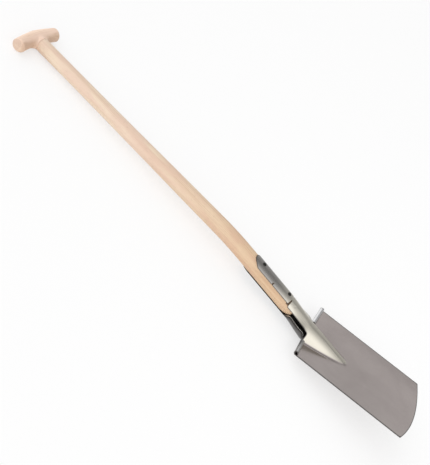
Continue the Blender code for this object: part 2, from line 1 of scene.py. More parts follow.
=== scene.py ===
# %% [markdown]
# # A digging spade with a T grip
#
# The real tool has one pressed stainless sheet for the blade, its rolled treads and the front strap,
# a second pressing behind the shaft, a cranked ash shaft, and a shaped wooden grip. Each piece made here
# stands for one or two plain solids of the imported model, which stays as the fixed frame; the small
# wedge and pin in the grip keep their solids and only get a material. The pieces are drawn in the tool's
# own frame: X across the blade, Y out of its front face, Z up towards the grip.

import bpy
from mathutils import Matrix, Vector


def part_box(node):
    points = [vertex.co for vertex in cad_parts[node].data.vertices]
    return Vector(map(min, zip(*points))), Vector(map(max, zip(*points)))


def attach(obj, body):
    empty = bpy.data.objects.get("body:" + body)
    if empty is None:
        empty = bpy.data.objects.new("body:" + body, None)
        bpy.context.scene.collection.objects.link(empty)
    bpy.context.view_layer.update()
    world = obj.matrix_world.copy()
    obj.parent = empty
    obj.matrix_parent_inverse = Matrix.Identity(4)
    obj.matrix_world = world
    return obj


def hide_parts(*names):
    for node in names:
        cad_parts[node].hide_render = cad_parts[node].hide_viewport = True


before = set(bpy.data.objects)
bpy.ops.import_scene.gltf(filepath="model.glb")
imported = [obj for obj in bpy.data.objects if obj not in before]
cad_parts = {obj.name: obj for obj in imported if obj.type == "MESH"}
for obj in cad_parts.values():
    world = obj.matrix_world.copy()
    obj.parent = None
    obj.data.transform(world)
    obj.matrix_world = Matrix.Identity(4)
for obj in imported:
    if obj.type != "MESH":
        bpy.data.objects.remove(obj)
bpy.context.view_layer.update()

# %% [markdown]
# ## Where the tool lies
#
# The spade lies on its back, on its heel and its grip, so its own frame is pitched in the room. The
# two rivets are solids of revolution, so the centres of their boxes lie on the socket's axis. Two known
# points on one line are enough to work the pitch and the place out, and nothing has to be fitted.

# %% The tool's own frame in the room
import math

import bmesh
import bpy
import numpy as np
from mathutils import Matrix, Vector

MM = 0.001
SOCKET_SLOPE = 0.2786
SOCKET_LEAN = math.atan(SOCKET_SLOPE)
SOCKET_FOOT_Z = 265.0 * MM
UPPER_RIVET_Z = 442.5 * MM
LOWER_RIVET_Z = 360.5 * MM


def box_centre(node):
    """Middle of a CAD node's box."""
    low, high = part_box(node)
    return (Vector(low) + Vector(high)) / 2


def socket_axis(z):
    """Point on the axis of the straight socket."""
    return Vector((0, SOCKET_SLOPE * (z - SOCKET_FOOT_Z), z))


upper_centre = box_centre("upper_rivet")
rise = upper_centre - box_centre("lower_rivet")
pitch = SOCKET_LEAN - math.atan2(rise.z, -rise.x)
turn = Matrix(((0, -math.sin(pitch), -math.cos(pitch)),
               (-1, 0, 0),
               (0, math.cos(pitch), -math.sin(pitch))))
LIE = Matrix.Translation(upper_centre - turn @ socket_axis(UPPER_RIVET_Z)) @ turn.to_4x4()
print("pitch", round(math.degrees(pitch), 3), "place", [round(v, 5) for v in LIE.translation])

# %% [markdown]
# ## Small helpers for meshes
#
# A sheet is a grid of rows. Each row is a list of points, and a row is joined to the one before it with
# quads. Half a sheet is enough, because a Mirror makes the other half and Solidify gives the thickness.

# %% Blends and rows of points
def ramp(low, high, value):
    """Straight step from 0 at low to 1 at high."""
    return min(max((value - low) / (high - low), 0.0), 1.0)


def smooth(low, high, value):
    """Smooth step from 0 at low to 1 at high."""
    share = ramp(low, high, value)
    return share * share * (3 - 2 * share)


def hump(away, reach):
    """1 in the middle of a round hump, falling off over its reach."""
    return math.exp(-(away / reach) ** 2)


def mix(first, second, share):
    """Straight blend of two numbers."""
    return first * (1 - share) + second * share


def spread(low, high, count, ease=1.0):
    """Values from low to high, closer together near low where ease is over 1."""
    return [mix(low, high, (index / count) ** ease) for index in range(count + 1)]


def add_row(mesh, previous, points):
    """Add a row of vertices and join it to the previous row."""
    row = [mesh.verts.new(point) for point in points]
    if previous:
        for index in range(len(row) - 1):
            mesh.faces.new((previous[index], previous[index + 1], row[index + 1], row[index]))
    return row


# %% From a grid to a finished piece
SMOOTH_ANGLE = math.radians(38)


def new_piece(name, mesh):
    """Turn a bmesh into an object in the scene."""
    data = bpy.data.meshes.new(name)
    mesh.to_mesh(data)
    mesh.free()
    piece = bpy.data.objects.new(name, data)
    bpy.context.scene.collection.objects.link(piece)
    return piece


def settle(piece):
    """Replace a piece's mesh by its evaluated one and drop the modifiers."""
    depsgraph = bpy.context.evaluated_depsgraph_get()
    data = bpy.data.meshes.new_from_object(piece.evaluated_get(depsgraph))
    piece.modifiers.clear()
    old = piece.data
    piece.data = data
    bpy.data.meshes.remove(old)
    data.name = piece.name


def cut(piece, cutter):
    """Cut one settled piece with another object, which is then removed."""
    boolean = piece.modifiers.new("cut", "BOOLEAN")
    boolean.operation = "DIFFERENCE"
    boolean.object = cutter
    boolean.solver = "EXACT"
    bpy.context.view_layer.update()
    settle(piece)
    bpy.data.objects.remove(cutter)


def store(data, name, values):
    """Store one number for each vertex of a mesh."""
    data.attributes.new(name, "FLOAT", "POINT").data.foreach_set("value", values)


def write_grain(piece, place):
    """Store where each vertex lies in the stock it was made from."""
    values = [part for vertex in piece.data.vertices for part in place(vertex.co)]
    piece.data.attributes.new("grain", "FLOAT_VECTOR", "POINT").data.foreach_set("vector", values)


def finish_piece(piece, slot, *nodes):
    """Lay a piece down, shade it, and let it stand for its CAD nodes."""
    piece.data.transform(LIE)
    piece.data.shade_smooth()
    piece.data.set_sharp_from_angle(angle=SMOOTH_ANGLE)
    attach(piece, "root")
    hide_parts(*nodes)
    faces = sum(len(face.vertices) - 2 for face in piece.data.polygons)
    print(piece.name, faces, "triangles")


# %% [markdown]
# ## The shape of the blade
#
# A spade's blade is one sheet. The plate is slightly dished, its cutting edge is bowed, and a long bell
# called the frog is pressed up in the middle to lead into the socket. One formula gives the front face:
# z is the height up the tool, and u runs from the frog's crown (0) over its flank (1 to 2) to the side
# edge of the plate (3). Pressing also draws the plate down a little beside the frog's foot, and lets the
# crown settle towards the shoulders. The sizes are nearly those of the CAD solid, so that the sheet
# stays inside its box.

# %% The dished plate and its frog
BLADE_HALF_WIDTH = 88.985 * MM
SHOULDER_Z = 270.7 * MM
DISH = 9.0 * MM
FROG_TIP_Z = 157.0 * MM
FROG_HALF_WIDTH = 36.0 * MM
FROG_TIP_HALF_WIDTH = 7.5 * MM
FROG_HEIGHT = 34.1 * MM
FROG_SIDE_BOW = 1.5 * MM
SETTLE_Z = 205.0 * MM
SETTLE_RATE = 1.39
FROG_RISE_CURVE = 0.31
FROG_TIP_ROUNDING = 0.01
FROG_CROWN_REACH = 0.55
FROG_FOOT_REACH = 0.84
COLUMN_SPREAD = 30.0 * MM


def bell(share, width, height, top, foot):
    """Point of a pressed bell: flat crown at share 0, flat foot at share 1."""
    rest = 1 - share
    x = width * (3 * rest * rest * share * top + 3 * rest * share * share * foot + share ** 3)
    return x, height * rest * rest * (1 + 2 * share)


def face_y(x):
    """Height of the dished front face."""
    return -DISH * (1 - (x / BLADE_HALF_WIDTH) ** 2)


def frog_share(z):
    """0 at the frog's tip, 1 at the shoulders."""
    return (z - FROG_TIP_Z) / (SHOULDER_Z - FROG_TIP_Z)


def frog_width(z):
    """Half width of the frog's foot, and of its columns below the tip."""
    share = frog_share(z)
    if share < 0:
        return mix(FROG_TIP_HALF_WIDTH, COLUMN_SPREAD, min((FROG_TIP_Z - z) / FROG_TIP_Z, 1.0))
    bow = FROG_SIDE_BOW * math.sin(math.pi * min(share, 1.0))
    return mix(FROG_TIP_HALF_WIDTH, FROG_HALF_WIDTH, share) + bow


def frog_height(z):
    """Height of the frog's crown above the plate; it eases onto the socket's slope."""
    below = min(z, SHOULDER_Z)
    share = max(frog_share(below), 0.0)
    rise = mix(share, share * share, FROG_RISE_CURVE)
    height = FROG_HEIGHT * rise * share * (1 + FROG_TIP_ROUNDING) / (share + FROG_TIP_ROUNDING)
    height -= SETTLE_RATE * max(below - SETTLE_Z, 0.0) ** 2
    return height + SOCKET_SLOPE * max(z - SHOULDER_Z, 0.0)


def frog_point(z, share):
    """Point of the front face, from the crown (0) to the frog's foot (1)."""
    x, y = bell(share, frog_width(z), frog_height(z), FROG_CROWN_REACH, FROG_FOOT_REACH)
    return Vector((x, face_y(x) + y, z))


print("frog rises", round(frog_height(SHOULDER_Z) / MM, 1), "mm above the plate")

# %% The front face from the cutting edge to the shoulders
DIP_DEPTH = 1.9 * MM
DIP_START = 1.3 * MM
DIP_REACH = 22.0 * MM
DIP_GROWTH = 3.5
FROG_FLANK_START = 0.432
EDGE_BOW = 19.4 * MM
SHOULDER_FILLET = 5.0 * MM
CROWN_REACH = 0.32
FLANK_REACH = 0.6
SHOULDER_LIFT = 1.8 * MM
LIFT_START = 1.1


def plate_dip(x, z):
    """How far the plate is drawn down beside the frog's foot."""
    foot = frog_width(z)
    away = max(x - foot, 0.0)
    start = 1 - hump(away, DIP_START)
    fade = math.exp(-away / DIP_REACH) * (1 - (away / (BLADE_HALF_WIDTH - foot)) ** 2) ** 2
    return DIP_DEPTH * min(DIP_GROWTH * max(frog_share(z), 0.0), 1.0) * start * fade


def face_point(z, u):
    """Point of the front face: crown 0 to 1, flank 1 to 2, plate 2 to 3."""
    if u <= 1:
        return frog_point(z, FROG_FLANK_START * u)
    if u <= 2:
        return frog_point(z, mix(FROG_FLANK_START, 1.0, u - 1))
    x = mix(frog_width(z), BLADE_HALF_WIDTH, u - 2)
    return Vector((x, face_y(x) - plate_dip(x, z), z))


def edge_z(x):
    """Height of the bowed cutting edge."""
    return -EDGE_BOW * (1 - (x / BLADE_HALF_WIDTH) ** 2)


def plate_point(share, u):
    """Point of the front face between the cutting edge (0) and the shoulders (1)."""
    low_z = edge_z(face_point(0.0, u).x)
    before = max(1 - abs(u - 1) / CROWN_REACH, 0.0)
    after = max(1 - abs(u - 1) / FLANK_REACH, 0.0)
    corner = SHOULDER_FILLET * (before ** 2 if u < 1 else 1 - math.sqrt(1 - after ** 2))
    lift = SHOULDER_LIFT * math.sin(math.pi * ramp(LIFT_START, 2, u))
    return face_point(mix(low_z, SHOULDER_Z + corner + lift, share), u)


print("plate is", round((SHOULDER_Z - edge_z(0)) / MM, 1), "mm long in the middle")

# %% [markdown]
# ## The socket
#
# Above the shoulders the sheet closes round the shaft as the front strap, and the second pressing does
# the same from behind. Both are stretches of one tube that leans forward. They differ in how far they
# wrap round, so a wrap angle that changes with height gives flanges, corners and tapered tips. Below the
# lower rivet the front strap narrows into a neck, whose crown is lower and slimmer than the tube, and
# the press has left a small dent on either side of it.

# %% The socket's tube
SOCKET_RADIUS = 22.3 * MM
MOUTH_HALF_WIDTH = 25.5 * MM
MOUTH_Z = 273.0 * MM
SOCKET_ROUND_Z = 330.0 * MM
TIP_LENGTH = 20.0 * MM
TIP_NARROWING = 0.62
TIP_WIDTH = 0.12
TIP_POWER = 8


def socket_normal():
    """Direction straight out of the front strap."""
    return Vector((0, math.cos(SOCKET_LEAN), -math.sin(SOCKET_LEAN)))


def socket_width(z):
    """Half width of the tube, which is wider at its mouth."""
    return mix(SOCKET_RADIUS, MOUTH_HALF_WIDTH, 1 - smooth(MOUTH_Z, SOCKET_ROUND_Z, z))


def socket_point(z, angle, depth, width):
    """Point of a strap's outer face; angle runs from the crown, depth is signed to the front."""
    out = socket_normal() * (depth * math.cos(angle))
    return socket_axis(z) + out + Vector((width * math.sin(angle), 0, 0))


def strap_wrap(z, tip_z, wrap):
    """Half wrap of a strap, narrowing in a straight taper to a small round tip."""
    share = ramp(tip_z - TIP_LENGTH, tip_z, z)
    return wrap * max((1 - TIP_NARROWING * share) * math.sqrt(1 - share ** TIP_POWER), TIP_WIDTH)


print("socket mouth is", round(2 * MOUTH_HALF_WIDTH / MM, 1), "mm wide")

# %% The front strap
FRONT_TUBE_Z = 298.0 * MM
FRONT_TIP_Z = 467.0 * MM
FRONT_WRAP = math.radians(51)
FRONT_MOUTH_WRAP = math.radians(65)
FLANGE_STEP_START_Z = 344.0 * MM
FLANGE_STEP_END_Z = 347.0 * MM
NECK_Z = 350.0 * MM
NECK_NARROW = 9.0 * MM
NECK_DROP = 6.0 * MM
NECK_EDGE_POWER = 2.5
THROAT_SHARE = 0.06
THROAT_Z = 287.0 * MM
THROAT_REACH = 7.0 * MM
DENT_Z = 333.0 * MM
DENT_SHARE = 0.43
DENT_RADIUS = 1.5 * MM
DENT_DEPTH = 0.8 * MM


def front_point(z, u):
    """Point of the front strap's outer face, growing out of the frog."""
    higher = smooth(FLANGE_STEP_START_Z, FLANGE_STEP_END_Z, z)
    wrap = strap_wrap(z, FRONT_TIP_Z, mix(FRONT_MOUTH_WRAP, FRONT_WRAP, higher))
    across = (u - DENT_SHARE) * FRONT_MOUTH_WRAP * SOCKET_RADIUS
    dent = DENT_DEPTH * hump(math.hypot(across, z - DENT_Z), DENT_RADIUS)
    neck = ramp(NECK_Z, SHOULDER_Z, z)
    crowned = 1 - u ** NECK_EDGE_POWER
    width = mix(socket_width(z), SOCKET_RADIUS - NECK_NARROW * neck, crowned)
    u *= 1 - THROAT_SHARE * hump(z - THROAT_Z, THROAT_REACH)
    tube = socket_point(z, u * wrap, SOCKET_RADIUS - dent, width)
    tube -= socket_normal() * (NECK_DROP * neck * crowned)
    return frog_point(z, u * FROG_FLANK_START).lerp(tube, smooth(SHOULDER_Z, FRONT_TUBE_Z, z))


print("neck is", round(2 * front_point(FRONT_TUBE_Z, 1.0).x / MM, 1), "mm wide at its foot")

# %% [markdown]
# ## The blade sheet
#
# The sheet could be a coarse cage with subdivision, but its edges have to stay crisp and its frog has a
# formula, so a fine grid of real points is simpler and exact. Solidify gives the 2 mm of steel. A vertex
# group thins it towards the ground cutting edge, and a small Bevel breaks the sheared rim, as a press
# leaves it. The rolled treads carry on from the plate's top row in an arc.

# %% Rolled treads and rounded tips
TREAD_INNER_RADIUS = 2.85 * MM
TREAD_FLAT = math.radians(155)
TREAD_ROUND = math.radians(40)
TREAD_TURN = math.radians(298)
TREAD_INSET = 2.0 * MM
TREAD_INSET_SHARE = 0.25
TREAD_POWER = 3
TIP_ROWS = 26


def tread_point(u, turned):
    """Point of the inner face of a tread; turned runs from the shoulder (0) to the roll's end (1)."""
    start = plate_point(1.0, u)
    angle = TREAD_TURN * turned
    inset = TREAD_INSET * start.x / BLADE_HALF_WIDTH * min(turned / TREAD_INSET_SHARE, 1.0)
    turn = angle - TREAD_FLAT
    square = abs(math.cos(turn)) ** TREAD_POWER + abs(math.sin(turn)) ** TREAD_POWER
    square **= -1 / TREAD_POWER
    reach = TREAD_INNER_RADIUS * mix(1.0, square, smooth(TREAD_ROUND, 2 * TREAD_ROUND, angle))
    across = TREAD_INNER_RADIUS - reach * math.cos(angle)
    return start + Vector((-inset, across, reach * math.sin(angle)))


def tip_heights(tip_z):
    """Heights over a strap's tip, closer together at its end."""
    turns = [math.pi / 2 * index / TIP_ROWS for index in range(1, TIP_ROWS + 1)]
    return [tip_z - TIP_LENGTH * (1 - math.sin(turn)) for turn in turns]


# %% Thicken and bevel a sheet
SHEET = 2.0 * MM
WELD = 0.005 * MM
GROUND_LENGTH = 6.0 * MM
GROUND_THICKNESS = 0.5
RIM_BEVEL = 0.3 * MM
RIM_ANGLE = math.radians(60)


def sheet_piece(name, mesh, outward):
    """Mirror a half sheet, give it thickness and break its rim."""
    bmesh.ops.recalc_face_normals(mesh, faces=mesh.faces)
    mesh.faces.ensure_lookup_table()
    if mesh.faces[0].normal.dot(outward) < 0:
        bmesh.ops.reverse_faces(mesh, faces=mesh.faces)
    piece = new_piece(name, mesh)
    piece.data.materials.append(None)
    piece.data.materials.append(None)
    mirror = piece.modifiers.new("mirror", "MIRROR")
    mirror.merge_threshold = WELD
    shell = piece.modifiers.new("sheet", "SOLIDIFY")
    shell.thickness = SHEET
    shell.offset = -1
    shell.use_even_offset = True
    shell.material_offset_rim = 1
    shell.vertex_group = "thickness"
    group = piece.vertex_groups.new(name="thickness")
    for vertex in piece.data.vertices:
        ground = smooth(0, GROUND_LENGTH, vertex.co.z - edge_z(vertex.co.x))
        group.add([vertex.index], mix(GROUND_THICKNESS, 1.0, ground), "REPLACE")
    bevel = piece.modifiers.new("rim", "BEVEL")
    bevel.width = RIM_BEVEL
    bevel.segments = 2
    bevel.limit_method = "ANGLE"
    bevel.angle_limit = RIM_ANGLE
    bevel.use_clamp_overlap = True
    settle(piece)
    return piece


# %% Make the blade sheet
CROWN_STEPS = 22
FLANK_STEPS = 28
FLANK_EASE = 1.5
PLATE_STEPS = 26
RIM_SUPPORT = 0.012
PLAIN_ROWS = 40
FROG_ROWS = 64
TREAD_STEPS = 44
FRONT_START_Z = 277.0 * MM
MOUTH_ROWS = 56
STRAP_ROWS = 60

blade_mesh = bmesh.new()
crown = spread(0, 1, CROWN_STEPS)
flank = spread(1, 2, FLANK_STEPS, FLANK_EASE)
plate = spread(2, 3, PLATE_STEPS)
plate.insert(-1, 3 - RIM_SUPPORT)
columns = crown + flank[1:] + plate[1:]
tip_share = (FROG_TIP_Z + EDGE_BOW) / (SHOULDER_Z + EDGE_BOW)
row = None
for share in spread(0, tip_share, PLAIN_ROWS) + spread(tip_share, 1, FROG_ROWS)[1:]:
    row = add_row(blade_mesh, row, [plate_point(share, u) for u in columns])
shoulder = row
row = shoulder[CROWN_STEPS + FLANK_STEPS:]
for turned in spread(0, 1, TREAD_STEPS)[1:]:
    row = add_row(blade_mesh, row, [tread_point(u, turned) for u in plate])
row = shoulder[:CROWN_STEPS + 1]
heights = spread(FRONT_START_Z, FLANGE_STEP_START_Z, MOUTH_ROWS)
heights += [FLANGE_STEP_END_Z] + spread(FLANGE_STEP_END_Z, FRONT_TIP_Z - TIP_LENGTH, STRAP_ROWS)[1:]
for z in heights + tip_heights(FRONT_TIP_Z):
    row = add_row(blade_mesh, row, [front_point(z, u) for u in crown])
blade = sheet_piece("blade_sheet", blade_mesh, Vector((0, 1, 0)))
print("blade sheet has", len(blade.data.vertices), "vertices")

# %% [markdown]
# ## The back strap
#
# The second pressing starts as a flat cover behind the frog, rises over the heel into the back half of
# the socket, and ends in its own tapered strap. It is the same kind of grid, seen from behind.

# %% The cover and the back half of the socket
GAP = 0.3 * MM
COVER_TIP_Z = 148.0 * MM
COVER_TOP_Z = 266.0 * MM
COVER_RIM = 4.0 * MM
COVER_TIP_REACH = 20.0 * MM
COVER_TIP_SHARE = 0.6
COVER_CROWN_REACH = 0.62
COVER_FOOT_REACH = 0.72
HEEL_DEPTH = 14.85 * MM
HEEL_FADE_Z = 205.0 * MM
HEEL_FULL_Z = 270.0 * MM
HEEL_HALF_WIDTH = 27.0 * MM
HEEL_TIP_SHARE = 0.45
BACK_TUBE_Z = 283.0 * MM
BACK_TIP_Z = 468.0 * MM
BACK_WRAP = math.radians(41)
BACK_MOUTH_WRAP = math.radians(93)
BACK_EDGE_START_Z = 322.0 * MM
BACK_EDGE_END_Z = 340.0 * MM
MOUTH_DEPTH = 28.0 * MM
MOUTH_WAIST = math.radians(5)
MOUTH_WAIST_Z = 303.0 * MM
MOUTH_WAIST_REACH = 18.0 * MM


def cover_width(z):
    """Half width of the cover, a little wider than the frog behind it."""
    share = ramp(COVER_TIP_Z, COVER_TIP_Z + COVER_TIP_REACH, z)
    return (frog_width(max(z, FROG_TIP_Z)) + COVER_RIM) * math.sqrt(mix(COVER_TIP_SHARE, 1.0, share))


def cover_point(z, share):
    """Point of the cover's outer face: 0 on the ridge, 1 at the foot of the raised part."""
    raised = smooth(HEEL_FADE_Z, HEEL_FULL_Z, z)
    width = min(HEEL_HALF_WIDTH * mix(HEEL_TIP_SHARE, 1.0, raised), cover_width(z) - 2 * COVER_RIM)
    x, depth = bell(share, width, HEEL_DEPTH * raised, COVER_CROWN_REACH, COVER_FOOT_REACH)
    return Vector((x, face_y(x) - 2 * SHEET - GAP - depth, z))


def back_point(z, share):
    """Point of the back strap's outer face above the cover."""
    wrap = mix(BACK_MOUTH_WRAP, BACK_WRAP, smooth(BACK_EDGE_START_Z, BACK_EDGE_END_Z, z))
    wrap -= MOUTH_WAIST * hump(z - MOUTH_WAIST_Z, MOUTH_WAIST_REACH)
    depth = mix(SOCKET_RADIUS, MOUTH_DEPTH, 1 - smooth(MOUTH_Z, SOCKET_ROUND_Z, z))
    tube = socket_point(z, share * strap_wrap(z, BACK_TIP_Z, wrap), -depth, socket_width(z))
    return cover_point(z, share).lerp(tube, smooth(COVER_TOP_Z, BACK_TUBE_Z, z))


# %% Make the back strap
RIM_STEPS = 6
COVER_ROWS = 60
BACK_MOUTH_ROWS = 34
EDGE_ROWS = 14

back_mesh = bmesh.new()
row = None
for z in spread(COVER_TIP_Z, COVER_TOP_Z, COVER_ROWS):
    points = [cover_point(z, share) for share in crown]
    for x in spread(points[-1].x, cover_width(z), RIM_STEPS)[1:]:
        points.append(Vector((x, face_y(x) - plate_dip(x, z) - 2 * SHEET - GAP, z)))
    row = add_row(back_mesh, row, points)
row = row[:CROWN_STEPS + 1]
heights = spread(COVER_TOP_Z, BACK_EDGE_START_Z, BACK_MOUTH_ROWS)[1:]
heights += spread(BACK_EDGE_START_Z, BACK_EDGE_END_Z, EDGE_ROWS)[1:]
heights += spread(BACK_EDGE_END_Z, BACK_TIP_Z - TIP_LENGTH, STRAP_ROWS)[1:]
for z in heights + tip_heights(BACK_TIP_Z):
    row = add_row(back_mesh, row, [back_point(z, share) for share in crown])
back_strap = sheet_piece("back_strap_sheet", back_mesh, Vector((0, -1, 0)))
print("back strap has", len(back_strap.data.vertices), "vertices")

# %% [markdown]
# ## Relief cuts
#
# The front strap could not bend round the shaft in one go, so its flanges are slit at the mouth and
# notched higher up. Each cut is a wedge: the slit opens towards the free edge, and the notch closes
# towards it. A Boolean takes them out.

# %% Cut the slit and the notch in both flanges
SLIT_Z = 348.0 * MM
SLIT_INNER_X = 5.5 * MM
SLIT_INNER_WIDTH = 2.6 * MM
SLIT_OUTER_WIDTH = 8.0 * MM
NOTCH_Z = 401.5 * MM
NOTCH_INNER_X = 11.5 * MM
NOTCH_INNER_WIDTH = 4.0 * MM
NOTCH_OUTER_WIDTH = 1.0 * MM


def flange_cutter(z, inner_x, inner_width, outer_width):
    """Wedges across both flanges of the front strap."""
    mesh = bmesh.new()
    for side in (-1, 1):
        box = bmesh.ops.create_cube(mesh, size=1.0)
        for vertex in box["verts"]:
            width = outer_width if vertex.co.x > 0 else inner_width
            vertex.co.x = side * (inner_x + (0.5 + vertex.co.x) * SOCKET_RADIUS)
            vertex.co.y = (0.5 + vertex.co.y) * 2 * SOCKET_RADIUS
            vertex.co.z *= width
    bmesh.ops.recalc_face_normals(mesh, faces=mesh.faces)
    mesh.transform(Matrix.Translation(socket_axis(z)) @ Matrix.Rotation(-SOCKET_LEAN, 4, "X"))
    return new_piece("flange_cutter", mesh)


cut(blade, flange_cutter(SLIT_Z, SLIT_INNER_X, SLIT_INNER_WIDTH, SLIT_OUTER_WIDTH))
cut(blade, flange_cutter(NOTCH_Z, NOTCH_INNER_X, NOTCH_INNER_WIDTH, NOTCH_OUTER_WIDTH))
print("blade sheet has", len(blade.data.vertices), "vertices after the cuts")

# %% [markdown]
# ## The shaft, turned by Geometry Nodes
#
# A shaft follows a rule, so a node tree can turn it: a chain of stations goes in, the tree moves each
# station onto the cranked axis, works out the radius there, and sweeps a circle along the result. The
# slopes, the crank and the radii are named inputs, so another handle is a change of numbers.

# %% Nodes and the values between them
class Value:
    """Output of a node. Its sums and products become Math nodes, so a formula reads as one."""

    def __init__(self, socket):
        self.socket = socket

    def __add__(self, other):
        return maths("ADD", self, other)

    def __sub__(self, other):
        return maths("SUBTRACT", self, other)

    def __mul__(self, other):
        return maths("MULTIPLY", self, other)

    def __truediv__(self, other):
        return maths("DIVIDE", self, other)


def join(value, target):
    """Link a value to an input, or write a plain number into it."""
    if isinstance(value, Value):
        target.id_data.links.new(value.socket, target)
    else:
        target.default_value = value


def add_node(tree, kind, values=None, **settings):
    """Node of a kind, with its settings and the values of its inputs."""
    node = tree.nodes.new(kind)
    for key, setting in settings.items():
        setattr(node, key, setting)
    for key, value in (values or {}).items():
        join(value, node.inputs[key])
    return node


def output(tree, kind, values=None, out=0, **settings):
    """One output of a new node."""
    return Value(add_node(tree, kind, values, **settings).outputs[out])


def tree_of(*values):
    """Tree that the first linked value belongs to."""
    return next(value.socket.id_data for value in values if isinstance(value, Value))


# %% Nodes that a formula needs
def maths(operation, *values):
    """Result of a Math node."""
    return output(tree_of(*values), "ShaderNodeMath", dict(enumerate(values)), operation=operation)


def clamped(value):
    """The same result, kept between 0 and 1 by its own Math node."""
    value.socket.node.use_clamp = True
    return value


def parts(vector):
    """The X, Y and Z of a vector."""
    node = add_node(tree_of(vector), "ShaderNodeSeparateXYZ", {0: vector})
    return [Value(part) for part in node.outputs]


def step(value, low, high, to_low=0.0, to_high=1.0):
    """Smooth step of a value between two limits."""
    return output(tree_of(value), "ShaderNodeMapRange", {
        "Value": value, "From Min": low, "From Max": high, "To Min": to_low, "To Max": to_high},
        interpolation_type="SMOOTHSTEP")


# %% Start, close and run a tree
def new_tree(name, kind, inputs, outputs):
    """Node group whose sockets are listed by type: the tree, its given values and its results."""
    tree = bpy.data.node_groups.new(name, kind)
    for in_out, sockets in (("INPUT", inputs), ("OUTPUT", outputs)):
        for kind_of_socket, labels in sockets.items():
            for label in labels:
                tree.interface.new_socket(label, in_out=in_out, socket_type="NodeSocket" + kind_of_socket)
    given = {socket.name: Value(socket) for socket in tree.nodes.new("NodeGroupInput").outputs}
    return tree, given, tree.nodes.new("NodeGroupOutput").inputs


def close_tree(geometry, material, result):
    """End a tree: instances become real, and everything gets its material."""
    tree = tree_of(geometry)
    real = output(tree, "GeometryNodeRealizeInstances", {"Geometry": geometry})
    join(output(tree, "GeometryNodeSetMaterial", {"Geometry": real, "Material": material}), result)
    print(tree.name, "has", len(tree.nodes), "nodes")


def run_tree(piece, tree, values):
    """Put a node tree on a piece with its inputs set by identifier, and keep the plain mesh."""
    modifier = piece.modifiers.new("tree", "NODES")
    modifier.node_group = tree
    for item in tree.interface.items_tree:
        if item.in_out == "INPUT" and item.name in values:
            modifier[item.identifier] = values[item.name]
    piece.update_tag()
    bpy.context.view_layer.update()
    settle(piece)
    print(piece.name, "has", len(piece.data.vertices), "vertices")


# %% The tree that turns a shaft
shaft_tree, given, result = new_tree("turned_shaft", "GeometryNodeTree", {
    "Geometry": ["Stations"], "Int": ["Sides"], "Material": ["Wood"],
    "Float": ["Lower Slope", "Upper Slope", "Foot Height", "Crank Start", "Crank Length",
              "Lower Radius", "Upper Radius", "Taper End"]}, {"Geometry": ["Shaft"]})
height = parts(output(shaft_tree, "GeometryNodeInputPosition"))[2]
past_start = height - given["Crank Start"]
bend = maths("MINIMUM", maths("MAXIMUM", past_start, 0.0), given["Crank Length"])
beyond = maths("MAXIMUM", past_start - given["Crank Length"], 0.0)
change = given["Upper Slope"] - given["Lower Slope"]
straight = (height - given["Foot Height"]) * given["Lower Slope"]
curved = bend * bend * (change / (given["Crank Length"] * 2))
forward_by = straight + curved + beyond * change
moved = output(shaft_tree, "GeometryNodeSetPosition", {
    "Geometry": given["Stations"],
    "Position": output(shaft_tree, "ShaderNodeCombineXYZ", {"Y": forward_by, "Z": height})})
plain_radius = step(height, given["Crank Start"], given["Taper End"], given["Lower Radius"],
                    given["Upper Radius"])
turning = output(shaft_tree, "GeometryNodeInputNamedAttribute", {"Name": "turning"}, "Attribute",
                 data_type="FLOAT")
captured = add_node(shaft_tree, "GeometryNodeCaptureAttribute", {"Geometry": moved})
captured.capture_items.new("FLOAT", "radius")
join(plain_radius * turning, captured.inputs["radius"])
axis_curve = output(shaft_tree, "GeometryNodeMeshToCurve", {"Mesh": Value(captured.outputs["Geometry"])})
circle = output(shaft_tree, "GeometryNodeCurvePrimitiveCircle",
                {"Resolution": given["Sides"], "Radius": 1.0})
swept = output(shaft_tree, "GeometryNodeCurveToMesh", {
    "Curve": axis_curve, "Profile Curve": circle,
    "Scale": Value(captured.outputs["radius"]), "Fill Caps": True})
close_tree(swept, given["Wood"], result["Shaft"])

# %% [markdown]
# ## Stations of this shaft
#
# The stations are close together where the turner changes the radius: at the tapered foot in the
# socket, at the chamfer under the grip, and at the tenon. Each station carries its radius as a share of
# the plain shaft's radius there.

# %% Turn the shaft
SHAFT_RADIUS = 20.0 * MM
SHAFT_TOP_RADIUS = 16.0 * MM
SHAFT_FOOT_Z = 326.0 * MM
SHAFT_FOOT_RADIUS = 15.0 * MM
SHAFT_FOOT_TAPER = 26.0 * MM
CRANK_Z = 526.3 * MM
CRANK_REACH = 40.0 * MM
SHAFT_TAPER_END_Z = 1050.0 * MM
UPPER_SLOPE = 0.1708
UPPER_LEAN = math.atan(UPPER_SLOPE)
GRIP_Z = 1131.5 * MM
GRIP_RADIUS = 15.3 * MM
GRIP_SWELL = 1.4 * MM
BOSS_DROP = 18.0 * MM
CHAMFER_START = 6.0 * MM
# How far each chamfer station is below the grip, and how much it takes off the radius.
CHAMFER = ((3.0 * MM, 0.05 * MM), (2.0 * MM, 0.15 * MM), (0.9 * MM, 0.3 * MM), (0.1 * MM, 0.5 * MM))
TENON_RADIUS = 11.0 * MM
TENON_EXCESS = 6.0 * MM
SHAFT_SIDES = 72
FOOT_STATIONS = 14
SHAFT_STATIONS = 70
TENON_STATIONS = 12


def grip_height(drop):
    """Height of a point on the upper shaft's axis, measured along it from the grip."""
    return GRIP_Z + drop * math.cos(UPPER_LEAN)


